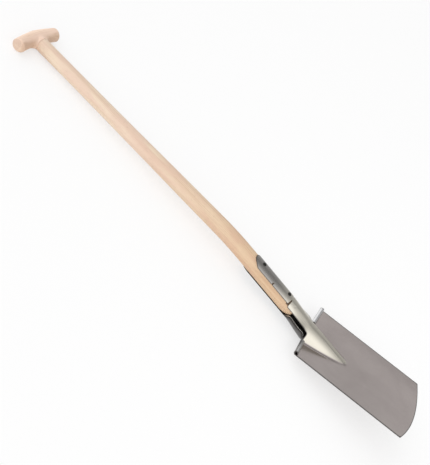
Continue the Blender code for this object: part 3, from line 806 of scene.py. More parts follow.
stations = []
for share in spread(0, 1, FOOT_STATIONS):
    foot = mix(SHAFT_FOOT_RADIUS, SHAFT_RADIUS, math.sin(share * math.pi / 2))
    stations.append((SHAFT_FOOT_Z + SHAFT_FOOT_TAPER * share, foot / SHAFT_RADIUS))
under_grip = -BOSS_DROP - GAP
for z in spread(stations[-1][0], grip_height(under_grip - CHAMFER_START), SHAFT_STATIONS)[1:]:
    stations.append((z, 1.0))
for below, taken in CHAMFER:
    stations.append((grip_height(under_grip - below), 1 - taken / SHAFT_TOP_RADIUS))
for drop in [under_grip] + spread(-BOSS_DROP + MM, GRIP_RADIUS + TENON_EXCESS, TENON_STATIONS):
    stations.append((grip_height(drop), TENON_RADIUS / SHAFT_TOP_RADIUS))

chain = bpy.data.meshes.new("shaft")
chain.from_pydata([(0, 0, z) for z, _ in stations],
                  [(index, index + 1) for index in range(len(stations) - 1)], [])
store(chain, "turning", [share for _, share in stations])
shaft = bpy.data.objects.new("turned_shaft", chain)
bpy.context.scene.collection.objects.link(shaft)
run_tree(shaft, shaft_tree, {
    "Lower Slope": SOCKET_SLOPE, "Upper Slope": UPPER_SLOPE, "Foot Height": SOCKET_FOOT_Z,
    "Crank Start": CRANK_Z - CRANK_REACH, "Crank Length": 2 * CRANK_REACH,
    "Lower Radius": SHAFT_RADIUS, "Upper Radius": SHAFT_TOP_RADIUS, "Taper End": SHAFT_TAPER_END_Z,
    "Sides": SHAFT_SIDES})

# %% [markdown]
# ## The grip
#
# The grip is carved from one block: an arched bar that flows into a short boss. A Boolean union would
# leave a hard line where they meet, which no carver leaves. So two rough solids are only the start: they
# are remeshed into even quads, and every point is then moved onto a smooth blend of the two bodies.

# %% The bar, the boss and their smooth blend
GRIP_HALF_LENGTH = 62.0 * MM
GRIP_SWELL_REACH = 22.0 * MM
GRIP_DROOP = 6.0 * MM
GRIP_EDGE = 5.0 * MM
BOSS_RADIUS = 16.4 * MM
BOSS_FLARE = 24.0 * MM
BOSS_TOP_DEPTH = 15.4 * MM
FLARE_CURVE = 1.6
BLEND_FRONT = 1.5 * MM
BLEND_CORNER = 14.0 * MM
BLEND_START = 0.62
BLEND_END = 0.97
ARCH_STEPS = 4


def arch(x):
    """Height of the bar's arched centre line, and its slope."""
    return -GRIP_DROOP * (x / GRIP_HALF_LENGTH) ** 2, -2 * GRIP_DROOP * x / GRIP_HALF_LENGTH ** 2


def bar_distance(p):
    """Distance to the arched bar, negative inside."""
    x, y, z = p[:, 0], p[:, 1], p[:, 2]
    foot = x.copy()
    for _ in range(ARCH_STEPS):
        height, slope = arch(foot)
        pull = (foot - x) + (height - z) * slope
        foot = foot - pull / (1 + slope ** 2 - 2 * GRIP_DROOP * (height - z) / GRIP_HALF_LENGTH ** 2)
    height, slope = arch(foot)
    radius = GRIP_RADIUS + GRIP_SWELL * np.exp(-(foot / GRIP_SWELL_REACH) ** 2) - GRIP_EDGE
    across = np.hypot(y, np.hypot(x - foot, z - height)) - radius
    along = np.abs(foot) - (GRIP_HALF_LENGTH - GRIP_EDGE)
    outside = np.hypot(np.maximum(across, 0), np.maximum(along, 0))
    return outside + np.minimum(np.maximum(across, along), 0) - GRIP_EDGE


def boss_distance(p):
    """Rough distance to the boss, round at the shaft and flared along the bar."""
    x, y, z = p[:, 0], p[:, 1], p[:, 2]
    share = np.clip((z + BOSS_DROP) / BOSS_DROP, 0, 1)
    width = BOSS_RADIUS + (BOSS_FLARE - BOSS_RADIUS) * share ** FLARE_CURVE
    depth = BOSS_RADIUS + (BOSS_TOP_DEPTH - BOSS_RADIUS) * share
    side = (np.hypot(x / width, y / depth) - 1) * np.minimum(width, depth)
    return np.maximum(np.maximum(side, -BOSS_DROP - z), z)


def grip_distance(p):
    """Smooth blend of the bar and the boss, softest in the two inner corners of the T."""
    bar, boss = bar_distance(p), boss_distance(p)
    sideways = np.abs(p[:, 0]) / (np.hypot(p[:, 0], p[:, 1]) + WELD)
    corner = np.clip((sideways - BLEND_START) / (BLEND_END - BLEND_START), 0, 1)
    blend = BLEND_FRONT + (BLEND_CORNER - BLEND_FRONT) * corner ** 2 * (3 - 2 * corner)
    overlap = np.maximum(blend - np.abs(bar - boss), 0) / blend
    return np.minimum(bar, boss) - overlap ** 2 * blend / 4


# %% Carve the grip
BAR_CUTS = 30
GRIP_VOXEL = 0.9 * MM
GRIP_STEPS = 10
STRIDE = 0.8
PROBE = 0.05 * MM
LEAST_SLOPE = 0.05
ROUND_SIDES = 64


def upper_axis(z):
    """Point on the axis of the shaft above the crank."""
    return Vector((0, SOCKET_SLOPE * (CRANK_Z - SOCKET_FOOT_Z) + UPPER_SLOPE * (z - CRANK_Z), z))


def onto_blend(points):
    """Move points along the field's slope until they lie on the blend."""
    for _ in range(GRIP_STEPS):
        here = grip_distance(points)
        slope = np.stack([grip_distance(points + move) - grip_distance(points - move)
                          for move in np.eye(3) * PROBE], axis=1) / (2 * PROBE)
        size = np.maximum((slope ** 2).sum(axis=1), LEAST_SLOPE)
        points = points - slope * (here / size)[:, None] * STRIDE
    return points


def cylinder(mesh, radius, low, high, sides=ROUND_SIDES):
    """Closed cylinder between two heights on Z."""
    made = bmesh.ops.create_cone(mesh, cap_ends=True, segments=sides, radius1=radius, radius2=radius,
                                 depth=high - low)
    bmesh.ops.translate(mesh, verts=made["verts"], vec=(0, 0, (low + high) / 2))
    return made["verts"]


GRIP_FRAME = Matrix.Translation(upper_axis(GRIP_Z)) @ Matrix.Rotation(-UPPER_LEAN, 4, "X")
grip_mesh = bmesh.new()
for vertex in cylinder(grip_mesh, GRIP_RADIUS, -GRIP_HALF_LENGTH, GRIP_HALF_LENGTH):
    vertex.co = Vector((vertex.co.z, vertex.co.y, -vertex.co.x))
long_edges = [edge for edge in grip_mesh.edges if edge.calc_length() > 2 * GRIP_HALF_LENGTH - MM]
bmesh.ops.subdivide_edges(grip_mesh, edges=long_edges, cuts=BAR_CUTS)
for vertex in grip_mesh.verts:
    vertex.co.z += arch(vertex.co.x)[0]
cylinder(grip_mesh, BOSS_RADIUS, -BOSS_DROP, 0)
bmesh.ops.recalc_face_normals(grip_mesh, faces=grip_mesh.faces)
grip = new_piece("shaped_grip", grip_mesh)
remesh = grip.modifiers.new("even", "REMESH")
remesh.mode = "VOXEL"
remesh.voxel_size = GRIP_VOXEL
settle(grip)
coords = np.empty(len(grip.data.vertices) * 3)
grip.data.vertices.foreach_get("co", coords)
coords = onto_blend(coords.reshape(-1, 3))
grip.data.vertices.foreach_set("co", coords.ravel())
grip.data.transform(GRIP_FRAME)
print("grip has", len(grip.data.vertices), "vertices, worst miss",
      round(float(np.abs(grip_distance(coords)).max()) / MM, 3), "mm")

# %% [markdown]
# ## Tenon, wedge and pin
#
# The shaft's tenon goes right through the grip and is spread by a wedge, and a pin locks it. The tenon
# is trimmed flush with the bar's round top, sawn for the wedge, and the grip is bored for it.

# %% Cutters for the tenon
WEDGE_TOP = 3.2 * MM
WEDGE_TIP = 1.0 * MM
KERF_DEPTH = 21.0 * MM
KERF_EXCESS = 8.0 * MM
TRIM_REACH = 20.0 * MM
TRIM_THICKNESS = 14.0 * MM
TRIM_DEPTH = 0.05 * MM


def rod(radius, low, high, where, sides=ROUND_SIDES):
    """Round cutter between two heights of a frame's own Z."""
    mesh = bmesh.new()
    cylinder(mesh, radius, low, high, sides)
    mesh.transform(where)
    return new_piece("rod_cutter", mesh)


def kerf_cutter():
    """Wedge-shaped saw cut down the tenon."""
    mesh = bmesh.new()
    bmesh.ops.create_cube(mesh, size=1.0)
    for vertex in mesh.verts:
        upper = vertex.co.z > 0
        vertex.co.x *= (WEDGE_TOP if upper else WEDGE_TIP) + 3 * GAP
        vertex.co.y *= 4 * TENON_RADIUS
        vertex.co.z = GRIP_RADIUS + GRIP_SWELL + (KERF_EXCESS if upper else -KERF_DEPTH)
    mesh.transform(GRIP_FRAME)
    return new_piece("kerf_cutter", mesh)


def trim_cutter():
    """Thick arch over the grip, whose hollow matches the bar's round top."""
    mesh = bmesh.new()
    radius = GRIP_RADIUS + GRIP_SWELL - TRIM_DEPTH
    row = None
    for x in (-TRIM_REACH, TRIM_REACH):
        turns = spread(0, math.pi, ROUND_SIDES)
        row = add_row(mesh, row, [(x, radius * math.cos(t), radius * math.sin(t)) for t in turns])
    bmesh.ops.recalc_face_normals(mesh, faces=mesh.faces)
    mesh.faces.ensure_lookup_table()
    if mesh.faces[ROUND_SIDES // 2].normal.z < 0:
        bmesh.ops.reverse_faces(mesh, faces=mesh.faces)
    mesh.transform(GRIP_FRAME)
    cutter = new_piece("trim_cutter", mesh)
    shell = cutter.modifiers.new("arch", "SOLIDIFY")
    shell.thickness = TRIM_THICKNESS
    shell.offset = 1
    settle(cutter)
    return cutter


# %% Trim the tenon and bore the grip
PIN_RADIUS = 1.6 * MM
PIN_DROP = 10.0 * MM
PIN_REACH = 6.0 * MM
PIN_SIDES = 24
BORE_LENGTH = 45.0 * MM

PIN_FRAME = GRIP_FRAME @ Matrix.Translation((0, 0, -PIN_DROP)) @ Matrix.Rotation(-math.pi / 2, 4, "X")
cut(shaft, trim_cutter())
cut(shaft, kerf_cutter())
cut(shaft, rod(PIN_RADIUS + GAP, -BORE_LENGTH, PIN_REACH + GAP, PIN_FRAME, PIN_SIDES))
cut(grip, rod(TENON_RADIUS + GAP, -BORE_LENGTH, BORE_LENGTH, GRIP_FRAME))
cut(grip, rod(PIN_RADIUS + GAP, -BORE_LENGTH, 0, PIN_FRAME, PIN_SIDES))
print("bored grip has", len(grip.data.vertices), "vertices")

# %% [markdown]
# ## Rivets
#
# Two dark rivets go right through both straps and the shaft. They are one shape repeated along the
# socket, so one turned rivet goes into a small tree that sets it on a line of points, each with a turn
# of its own.

# %% Drill for the rivets and turn one
RIVET_SHANK = 3.0 * MM
RIVET_HEAD = 4.6 * MM
RIVET_DOME = 2.0 * MM
RIVET_HOLE_SIDES = 32
RIVET_SIDES = 40
DOME_STEPS = 10


def socket_frame(z):
    """Frame on the socket's axis whose Z points out of the front strap."""
    out = Vector((0, 0, 1)).rotation_difference(socket_normal()).to_matrix().to_4x4()
    return Matrix.Translation(socket_axis(z)) @ out


for z in (UPPER_RIVET_Z, LOWER_RIVET_Z):
    for piece in (blade, back_strap, shaft):
        cut(piece, rod(RIVET_SHANK + GAP, -BORE_LENGTH, BORE_LENGTH, socket_frame(z), RIVET_HOLE_SIDES))

rivet_mesh = bmesh.new()
seat = SOCKET_RADIUS + GAP
half = [(RIVET_SHANK, seat)]
for turn in spread(0, math.pi / 2, DOME_STEPS):
    half.append((RIVET_HEAD * math.cos(turn), seat + RIVET_DOME * math.sin(turn)))
profile = [(r, -z) for r, z in reversed(half)] + half
row = None
for turn in spread(0, 2 * math.pi, RIVET_SIDES):
    row = add_row(rivet_mesh, row, [(r * math.cos(turn), r * math.sin(turn), z) for r, z in profile])
bmesh.ops.remove_doubles(rivet_mesh, verts=rivet_mesh.verts, dist=WELD)
bmesh.ops.recalc_face_normals(rivet_mesh, faces=rivet_mesh.faces)
rivets = new_piece("socket_rivets", rivet_mesh)
print("one rivet has", len(rivets.data.polygons), "faces")

# %% Set the rivets on their line
rivet_tree, given, result = new_tree("rivet_row", "GeometryNodeTree", {
    "Geometry": ["Rivet"], "Int": ["Count", "Seed"], "Vector": ["First", "Step", "Direction"],
    "Material": ["Steel"]}, {"Geometry": ["Rivets"]})
line = output(rivet_tree, "GeometryNodeMeshLine", {
    "Count": given["Count"], "Start Location": given["First"], "Offset": given["Step"]})
aligned = output(rivet_tree, "FunctionNodeAlignRotationToVector", {"Vector": given["Direction"]}, axis="Z")
spin = output(rivet_tree, "FunctionNodeRandomValue",
              {"Min": 0.0, "Max": 2 * math.pi, "Seed": given["Seed"]}, 1, data_type="FLOAT")
own_turn = output(rivet_tree, "FunctionNodeAxisAngleToRotation", {"Axis": (0, 0, 1), "Angle": spin})
turned_rivet = output(rivet_tree, "FunctionNodeRotateRotation",
                      {"Rotation": aligned, "Rotate By": own_turn}, rotation_space="LOCAL")
placed = output(rivet_tree, "GeometryNodeInstanceOnPoints",
                {"Points": line, "Instance": given["Rivet"], "Rotation": turned_rivet})
close_tree(placed, given["Steel"], result["Rivets"])
run_tree(rivets, rivet_tree, {
    "Count": 2, "First": socket_axis(LOWER_RIVET_Z), "Seed": 4,
    "Step": socket_axis(UPPER_RIVET_Z) - socket_axis(LOWER_RIVET_Z), "Direction": socket_normal()})

# %% [markdown]
# ## Where the patterns lie
#
# Wood fibres follow the stock that a piece was cut from, and brushing follows the sheet before it was
# bent. So each piece stores a position called "grain", whose Z runs along the fibres or the brushing.
# The two steel pressings also store how far each point is from their sheared rim, and the blade stores
# how much it was formed: 0 on the flat plate, 1 on the frog, the strap and the treads. On the frog's far
# flank the share is lowered, which keeps that flank out of the frog's painted highlight.

# %% Store the grain, the rim distance and the formed share, which also carries painted light
from mathutils import kdtree

RIM_REACH = 9.0 * MM
FORMED_START = 0.4 * MM
FORMED_END = 2.5 * MM
TREAD_START = 1.0 * MM
TREAD_RISE = 3.0 * MM
FRONT_FADE = 20.0 * MM
FAR_FLANK_SHADE_START = 0.3
FAR_FLANK_SHADE_FULL = 0.6
FAR_FLANK_SHADE_SHARE = 0.8
CROSS_GRAIN = GRIP_FRAME.inverted()


def write_rim(piece):
    """Store each vertex's distance to the sheet's rim, which Solidify marked with material 1."""
    rim = {corner for face in piece.data.polygons if face.material_index == 1 for corner in face.vertices}
    tree = kdtree.KDTree(len(rim))
    for corner in rim:
        tree.insert(piece.data.vertices[corner].co, corner)
    tree.balance()
    store(piece.data, "rim", [min(tree.find(vertex.co)[2], RIM_REACH) for vertex in piece.data.vertices])
    print(piece.name, "has", len(rim), "vertices on its rim")


def bent_axis(z):
    """How far forward the shaft's cranked axis is at a height."""
    past = z - (CRANK_Z - CRANK_REACH)
    bend = min(max(past, 0.0), 2 * CRANK_REACH)
    beyond = max(past - 2 * CRANK_REACH, 0.0)
    change = UPPER_SLOPE - SOCKET_SLOPE
    return SOCKET_SLOPE * (z - SOCKET_FOOT_Z) + change * (bend ** 2 / (4 * CRANK_REACH) + beyond)


def formed_and_lit_share(p):
    """0 on the flat plate, 1 where the sheet was pressed or rolled out of it, lowered on the frog's far
    flank to keep it out of the painted highlight.
    """
    rise = p.y - face_y(p.x)
    if abs(p.x) < FROG_HALF_WIDTH:
        # Painted shade: the frog's far flank is kept out of the painted highlight.
        far_flank_shade = smooth(FAR_FLANK_SHADE_START, FAR_FLANK_SHADE_FULL, -p.x / frog_width(p.z))
        far_flank_shade *= 1 - smooth(SHOULDER_Z - FRONT_FADE, SHOULDER_Z, p.z)
        return smooth(FORMED_START, FORMED_END, rise) * (1 - FAR_FLANK_SHADE_SHARE * far_flank_shade)
    return max(smooth(0, TREAD_START, p.z - SHOULDER_Z), smooth(TREAD_START, TREAD_RISE, rise))


write_rim(blade)
write_rim(back_strap)
store(blade.data, "formed", [formed_and_lit_share(vertex.co) for vertex in blade.data.vertices])
write_grain(blade, lambda p: (p.x, 0.0, p.z))
write_grain(back_strap, lambda p: (p.x, 0.0, p.z))
write_grain(shaft, lambda p: (p.x, p.y - bent_axis(p.z), p.z))
write_grain(grip, lambda p: ((CROSS_GRAIN @ p).y, (CROSS_GRAIN @ p).z, (CROSS_GRAIN @ p).x))

# %% [markdown]
# ## Wood
#
# One shader group makes the wood of all three wooden pieces. Growth rings are distances from a pith that
# lies outside the stock, so a round shaft cut from the plank shows straight lines and long arches by
# itself, and its end shows curved rings. Fine streaks, fibres and short flecks run along Z. Each noise
# has a scale per metre, which is high across the fibres and low along them.

# %% Helpers for patterns and colours
def vectors(operation, *values, out=0):
    """Result of a Vector Math node."""
    return output(tree_of(*values), "ShaderNodeVectorMath", dict(enumerate(values)), out,
                  operation=operation)


def scaled(vector, factor):
    """Vector or colour with its three parts multiplied."""
    return vectors("MULTIPLY", vector, factor)


def noise(vector, scale, detail=2.0, roughness=0.5, distortion=0.0, out="Fac"):
    """Noise texture with its own scale along each axis."""
    return output(tree_of(vector), "ShaderNodeTexNoise", {
        "Vector": scaled(vector, scale), "Scale": 1.0, "Detail": detail, "Roughness": roughness,
        "Distortion": distortion}, out)


def blend(factor, first, second):
    """Mix of two colours. Inputs 6 and 7 and output 2 of a Mix node are its colours."""
    return output(tree_of(factor, first, second), "ShaderNodeMix",
                  {0: factor, 6: first, 7: second}, 2, data_type="RGBA")


# %% The wood group
SWAY_SCALE = (14, 14, 2.2)
STREAK_SCALE = (420, 420, 4.5)
BROAD_SCALE = (110, 110, 9)
FIBRE_SCALE = (2600, 2600, 60)
FLECK_SCALE = (1500, 1500, 85)
DRIFT_SCALE = (40, 40, 11)
SWAY_REACH = (0.008, 0.008, 0)
NOISE_MIDDLE = 0.5
STREAK_MIDDLE = 0.42
FLECK_LIMITS = (0.63, 0.76)
DRIFT_LIMITS = (0.40, 0.60)
LATE_START = 0.35
LATE_PEAK = 0.92
LATE_TONE = 0.45
STREAK_TONE = 1.5
FIBRE_TONE = 0.7
BROAD_TONE = 2.2
DRIFT_SHARE = 0.62
FLECK_TONE = (0.62, 0.55, 0.48)
WOOD_ROUGHNESS = 0.5
STREAK_ROUGHNESS = 0.16
FIBRE_HEIGHT = 0.6
LATE_DEPTH = 0.25
FLECK_DEPTH = 0.5

wood_group, given, result = new_tree("sawn_wood", "ShaderNodeTree", {
    "Vector": ["Grain", "Pith"], "Float": ["Ring Width", "Fleck"], "Color": ["Light", "Dark", "Drift"]},
    {"Color": ["Color"], "Float": ["Roughness", "Height"]})
grain = given["Grain"]
sway = vectors("SUBTRACT", noise(grain, SWAY_SCALE, 1.0, out="Color"), (0.5, 0.5, 0.5))
swayed = vectors("ADD", scaled(sway, SWAY_REACH), grain)
from_pith = scaled(vectors("SUBTRACT", swayed, given["Pith"]), (1, 1, 0))
ring = maths("FRACT", vectors("LENGTH", from_pith, out="Value") / given["Ring Width"])
late = step(ring, LATE_START, LATE_PEAK) * step(ring, LATE_PEAK, 1.0, 1.0, 0.0)
streak = noise(grain, STREAK_SCALE, 3.0)
broad = noise(grain, BROAD_SCALE, 3.0)
fibre = noise(grain, FIBRE_SCALE)
fleck = step(noise(grain, FLECK_SCALE, 1.0), *FLECK_LIMITS) * given["Fleck"]
tone = late * LATE_TONE + (streak - STREAK_MIDDLE) * STREAK_TONE + (fibre - NOISE_MIDDLE) * FIBRE_TONE
tone = clamped(tone + (broad - NOISE_MIDDLE) * BROAD_TONE)
plain_wood = blend(tone, given["Light"], given["Dark"])
drifted = blend(step(noise(grain, DRIFT_SCALE), *DRIFT_LIMITS), plain_wood, given["Drift"])
drifted = blend(DRIFT_SHARE, plain_wood, drifted)
join(blend(fleck, drifted, scaled(given["Dark"], FLECK_TONE)), result["Color"])
join(streak * STREAK_ROUGHNESS + WOOD_ROUGHNESS, result["Roughness"])
join(fibre * FIBRE_HEIGHT - late * LATE_DEPTH - fleck * FLECK_DEPTH, result["Height"])
print("sawn_wood has", len(wood_group.nodes), "nodes")

# %% Helpers that build materials
def new_material(name):
    """Node material with a Principled shader."""
    material = bpy.data.materials.new(name)
    material.use_nodes = True
    return material


def attribute(tree, name, out="Vector"):
    """A stored attribute."""
    return output(tree, "ShaderNodeAttribute", out=out, attribute_name=name)


def stored_grain(tree):
    """The stored grain position."""
    return attribute(tree, "grain")


def turned_coordinates(tree, frame_of_piece):
    """Object coordinates turned into a piece's own frame, for a CAD node that stores no grain."""
    back = frame_of_piece.inverted()
    where = output(tree, "ShaderNodeTexCoord", out="Object")
    return output(tree, "ShaderNodeMapping", {
        "Vector": where, "Location": back.translation, "Rotation": back.to_euler()})


def lead_in(material, group, colour, bump, depth):
    """Lead a group's colour, roughness and height into the material's shader."""
    tree = material.node_tree
    relief = output(tree, "ShaderNodeBump", {
        "Strength": bump, "Distance": depth, "Height": Value(group.outputs["Height"])})
    shader = tree.nodes["Principled BSDF"].inputs
    join(colour, shader["Base Color"])
    join(Value(group.outputs["Roughness"]), shader["Roughness"])
    join(relief, shader["Normal"])
    print(material.name, "has", len(tree.nodes), "nodes")


# %% Marks on the shaft and the grip, with painted shade under the cuts and under the grip
# Painted shade: the lower half of the grip's bar, clear of the boss and the ends, is painted darker.
UNDERSIDE_SHADE = (0.79, 0.74, 0.68)
UNDERSIDE_SHADE_START = -8.5 * MM
UNDERSIDE_SHADE_FULL = -15.5 * MM
BOSS_CLEAR_START = 12.0 * MM
BOSS_CLEAR_END = 24.0 * MM
END_GRAIN = (0.81, 0.80, 0.79)
END_START = GRIP_HALF_LENGTH - 1.8 * MM
END_FULL = GRIP_HALF_LENGTH - 0.3 * MM
# Painted shade: the dark inside the slit and the notch is painted dark brown onto the wood under them.
SLIT_SHADE = (0.10, 0.055, 0.028, 1)
# For each cut: its height, how far its painted shade reaches up and down, and how far out it starts.
SLIT_SHADE_MARKS = ((SLIT_Z, 4.0 * MM, 10.0 * MM), (NOTCH_Z, 2.8 * MM, 12.6 * MM))
SLIT_SHADE_SOFTNESS = 1.3
SLIT_SHADE_FADE = 1.4 * MM
BROWNING = (0.865, 0.765, 0.64)
BROWN_FROM_Z = 0.38
BROWN_TO_Z = 0.88


def painted_slit_shade(grain):
    """1 under the slit and the notch in the front strap, where shade is painted onto the wood, else 0."""
    _, y, z = parts(grain)
    along = y * (math.sin(SOCKET_LEAN) * math.cos(SOCKET_LEAN)) + z
    marks = 0.0
    for cut_z, reach, low in SLIT_SHADE_MARKS:
        mark = step(maths("ABSOLUTE", along - cut_z), reach, SLIT_SHADE_SOFTNESS * reach, 1.0, 0.0)
        marks = mark * step(y, low, low + SLIT_SHADE_FADE) + marks
    return marks


def browned_and_shaded_shaft(colour, grain):
    """Brown the shaft towards the socket and paint shade on it under the cuts."""
    browner = step(parts(grain)[2], BROWN_FROM_Z, BROWN_TO_Z, 1.0, 0.0)
    aged = blend(browner, colour, scaled(colour, BROWNING))
    return blend(painted_slit_shade(grain), aged, SLIT_SHADE)


def grip_ends_and_shade(colour, grain):
    """Show end grain on the grip's flat ends, and paint shade on the underside of its bar, clear of the
    boss.
    """
    _, y, z = parts(grain)
    outwards = maths("ABSOLUTE", z)
    at_end = step(outwards, END_START, END_FULL)
    trimmed = blend(at_end, colour, scaled(colour, END_GRAIN))
    # Painted shade under the bar.
    under = step(y, UNDERSIDE_SHADE_FULL, UNDERSIDE_SHADE_START, 1.0, 0.0)
    painted_under_shade = under * step(outwards, BOSS_CLEAR_START, BOSS_CLEAR_END) * maths("SUBTRACT", 1.0, at_end)
    return blend(painted_under_shade, trimmed, scaled(trimmed, UNDERSIDE_SHADE))


# %% Wooden materials
SHAFT_WOOD = {"Light": (0.81, 0.66, 0.51, 1), "Dark": (0.65, 0.46, 0.33, 1),
              "Drift": (0.745, 0.54, 0.43, 1), "Pith": (0.03, -0.055, 0), "Ring Width": 2.6 * MM,
              "Fleck": 0.4}
GRIP_WOOD = {"Light": (0.92, 0.71, 0.56, 1), "Dark": (0.75, 0.53, 0.40, 1),
             "Drift": (0.85, 0.62, 0.50, 1), "Pith": (-0.05, 0.03, 0), "Ring Width": 2.4 * MM,
             "Fleck": 0.4}
WEDGE_WOOD = {"Light": (0.60, 0.42, 0.26, 1), "Dark": (0.42, 0.26, 0.15, 1),
              "Drift": (0.50, 0.32, 0.2, 1), "Pith": (0.02, 0.03, 0), "Ring Width": 1.1 * MM,
              "Fleck": 0.6}
WOOD_RELIEF = 0.2 * MM


def wooden(name, look, bump, place=stored_grain, recolour=None):
    """Material that uses the wood group; used may change its colour over the piece."""
    material = new_material(name)
    grain = place(material.node_tree)
    wood = add_node(material.node_tree, "ShaderNodeGroup", {"Grain": grain, **look}, node_tree=wood_group)
    colour = Value(wood.outputs["Color"])
    lead_in(material, wood, recolour(colour, grain) if recolour else colour, bump, WOOD_RELIEF)
    return material


shaft_wood = wooden("ash_shaft", SHAFT_WOOD, 0.45, recolour=browned_and_shaded_shaft)
grip_wood = wooden("ash_grip", GRIP_WOOD, 0.45, recolour=grip_ends_and_shade)
wedge_wood = wooden("oak_wedge", WEDGE_WOOD, 0.5, lambda tree: turned_coordinates(tree, LIE @ GRIP_FRAME))

# %% [markdown]
# ## Steel
#
# The pressings are brushed along their length before they are bent. The group adds fine lines, soft
# blotches from handling and heat, a few scuffs, a colour of painted light where the sheet was formed, a
# darker and rougher edge, and the thin sheared face at the rim itself. What changes along the tool, such
# as the pale frog, a painted highlight, and the darker strap, painted shade, is worked out in each
# material and goes into the group as a colour.

# %% The steel group
LINE_SCALE = (2600, 2600, 16)
SOFT_SCALE = (17, 17, 13)
CLOUD_SCALE = (60, 60, 34)
SCUFF_PLACE_SCALE = (34, 34, 25)
SCUFF_SCALE = (1100, 1100, 26)
SCUFF_TILT = 0.21
SCUFF_LIMITS = (0.66, 0.74)
SCUFF_PLACE_LIMITS = (0.52, 0.62)
LINE_LIMITS = (0.3, 0.7)
LINE_TONES = (0.98, 1.02)
EDGE_START = 0.5 * MM
SHEAR_START = 0.15 * MM
SHEAR_END = 0.35 * MM
SOFT_TONE = 0.9
CLOUD_TONE = 0.45
LINE_ROUGHNESS = 0.12
CLOUD_ROUGHNESS = 0.10
SCUFF_ROUGHNESS = 0.10
FORMED_ROUGHNESS = 0.11
EDGE_ROUGHNESS = 0.15
LINE_HEIGHT = 0.5
CLOUD_HEIGHT = 0.5
SCUFF_DEPTH = 0.4

steel_group, given, result = new_tree("satin_steel", "ShaderNodeTree", {
    "Vector": ["Grain"], "Float": ["Rim", "Formed", "Edge Reach", "Blotches", "Base Roughness"],
    "Color": ["Color", "Tint", "Formed Color", "Edge Color", "Sheared Color"]},
    {"Color": ["Color"], "Float": ["Roughness", "Height"]})
grain = given["Grain"]
line = noise(grain, LINE_SCALE, 2.0, 0.6)
soft = noise(grain, SOFT_SCALE, 3.0, 0.55, 0.6)
cloud = noise(grain, CLOUD_SCALE, 3.0, 0.6)
tilted = output(steel_group, "ShaderNodeMapping", {"Vector": grain, "Rotation": (0, SCUFF_TILT, 0)})
scuff = step(noise(tilted, SCUFF_SCALE, 1.0), *SCUFF_LIMITS)
scuff = scuff * step(noise(grain, SCUFF_PLACE_SCALE, 1.0), *SCUFF_PLACE_LIMITS)
edge = step(given["Rim"], EDGE_START, given["Edge Reach"], 1.0, 0.0)
sheared = step(given["Rim"], SHEAR_START, SHEAR_END, 1.0, 0.0)
shade = (soft - NOISE_MIDDLE) * SOFT_TONE + (cloud - NOISE_MIDDLE) * CLOUD_TONE
shade = clamped(shade * given["Blotches"] + 0.5)
# Where the sheet was formed, its colour carries the painted light that each material gives.
tinted = blend(given["Formed"], blend(shade, given["Color"], given["Tint"]), given["Formed Color"])
lined = scaled(tinted, step(line, *LINE_LIMITS, *LINE_TONES))
edged = blend(edge, lined, given["Edge Color"])
join(blend(sheared, edged, given["Sheared Color"]), result["Color"])
rough = given["Base Roughness"] + (line - NOISE_MIDDLE) * LINE_ROUGHNESS
rough = rough + (cloud - NOISE_MIDDLE) * CLOUD_ROUGHNESS + scuff * SCUFF_ROUGHNESS
rough = rough + given["Formed"] * FORMED_ROUGHNESS + edge * EDGE_ROUGHNESS
join(clamped(rough), result["Roughness"])
join(line * LINE_HEIGHT + cloud * CLOUD_HEIGHT - scuff * SCUFF_DEPTH, result["Height"])
print("satin_steel has", len(steel_group.nodes), "nodes")

# %% Looks of the steel
FRONT_STEEL = {"Color": (0.485, 0.43, 0.415, 1), "Tint": (0.55, 0.495, 0.475, 1),
               "Edge Color": (0.15, 0.14, 0.135, 1), "Edge Reach": 2.4 * MM,
               "Sheared Color": (0.13, 0.12, 0.115, 1), "Blotches": 1.7, "Base Roughness": 0.18}
# Painted shade: the back strap's colours are dark, darkest towards its rim, for the dark it reflects.
BACK_STEEL_PAINTED_DARK = {"Color": (0.135, 0.13, 0.126, 1), "Tint": (0.19, 0.183, 0.178, 1),
              "Edge Color": (0.035, 0.03, 0.027, 1), "Edge Reach": RIM_REACH,
              "Blotches": 1.4, "Base Roughness": 0.30}
RIVET_STEEL = {"Color": (0.035, 0.034, 0.033, 1), "Tint": (0.055, 0.05, 0.047, 1),
               "Edge Color": (0.03, 0.03, 0.03, 1), "Edge Reach": 2.4 * MM,
               "Blotches": 2.0, "Base Roughness": 0.42}
STEEL_RELIEF = 0.05 * MM

# %% Colours that change over the front and the back sheet, most of them painted light
# Painted light: the pale frog colour is a painted highlight and the darker strap colour above it is
# painted shade.
FROG_HIGHLIGHT_STEEL = (0.58, 0.55, 0.48, 1)
STRAP_SHADE_STEEL = (0.34, 0.325, 0.31, 1)
STRAP_PALE_Z = 0.325
STRAP_DARK_Z = 0.405
# Painted light: one tread is painted lighter, as a highlight, and the other darker, as shade.
LEFT_TREAD_HIGHLIGHT = (0.60, 0.60, 0.605, 1)
RIGHT_TREAD_SHADE = (0.46, 0.455, 0.45, 1)
# Painted reflection: the plate is lifted lighter towards the cutting edge and towards the side of negative
# X.
SHEEN_LIFT = 1.08
SHEEN_LOW_Z = -0.01
SHEEN_END_Z = 0.14
SHEEN_SIDE_X = 0.01
SHEEN_SIDE_LIFT = 1.20
# Painted light on the back strap's sheared face: a highlight at the mouth and shade above it.
SHEAR_HIGHLIGHT = (0.80, 0.78, 0.74, 1)
SHEAR_SHADE = (0.04, 0.035, 0.03, 1)
SHEAR_HIGHLIGHT_Z = 0.324
SHEAR_SHADE_Z = 0.338


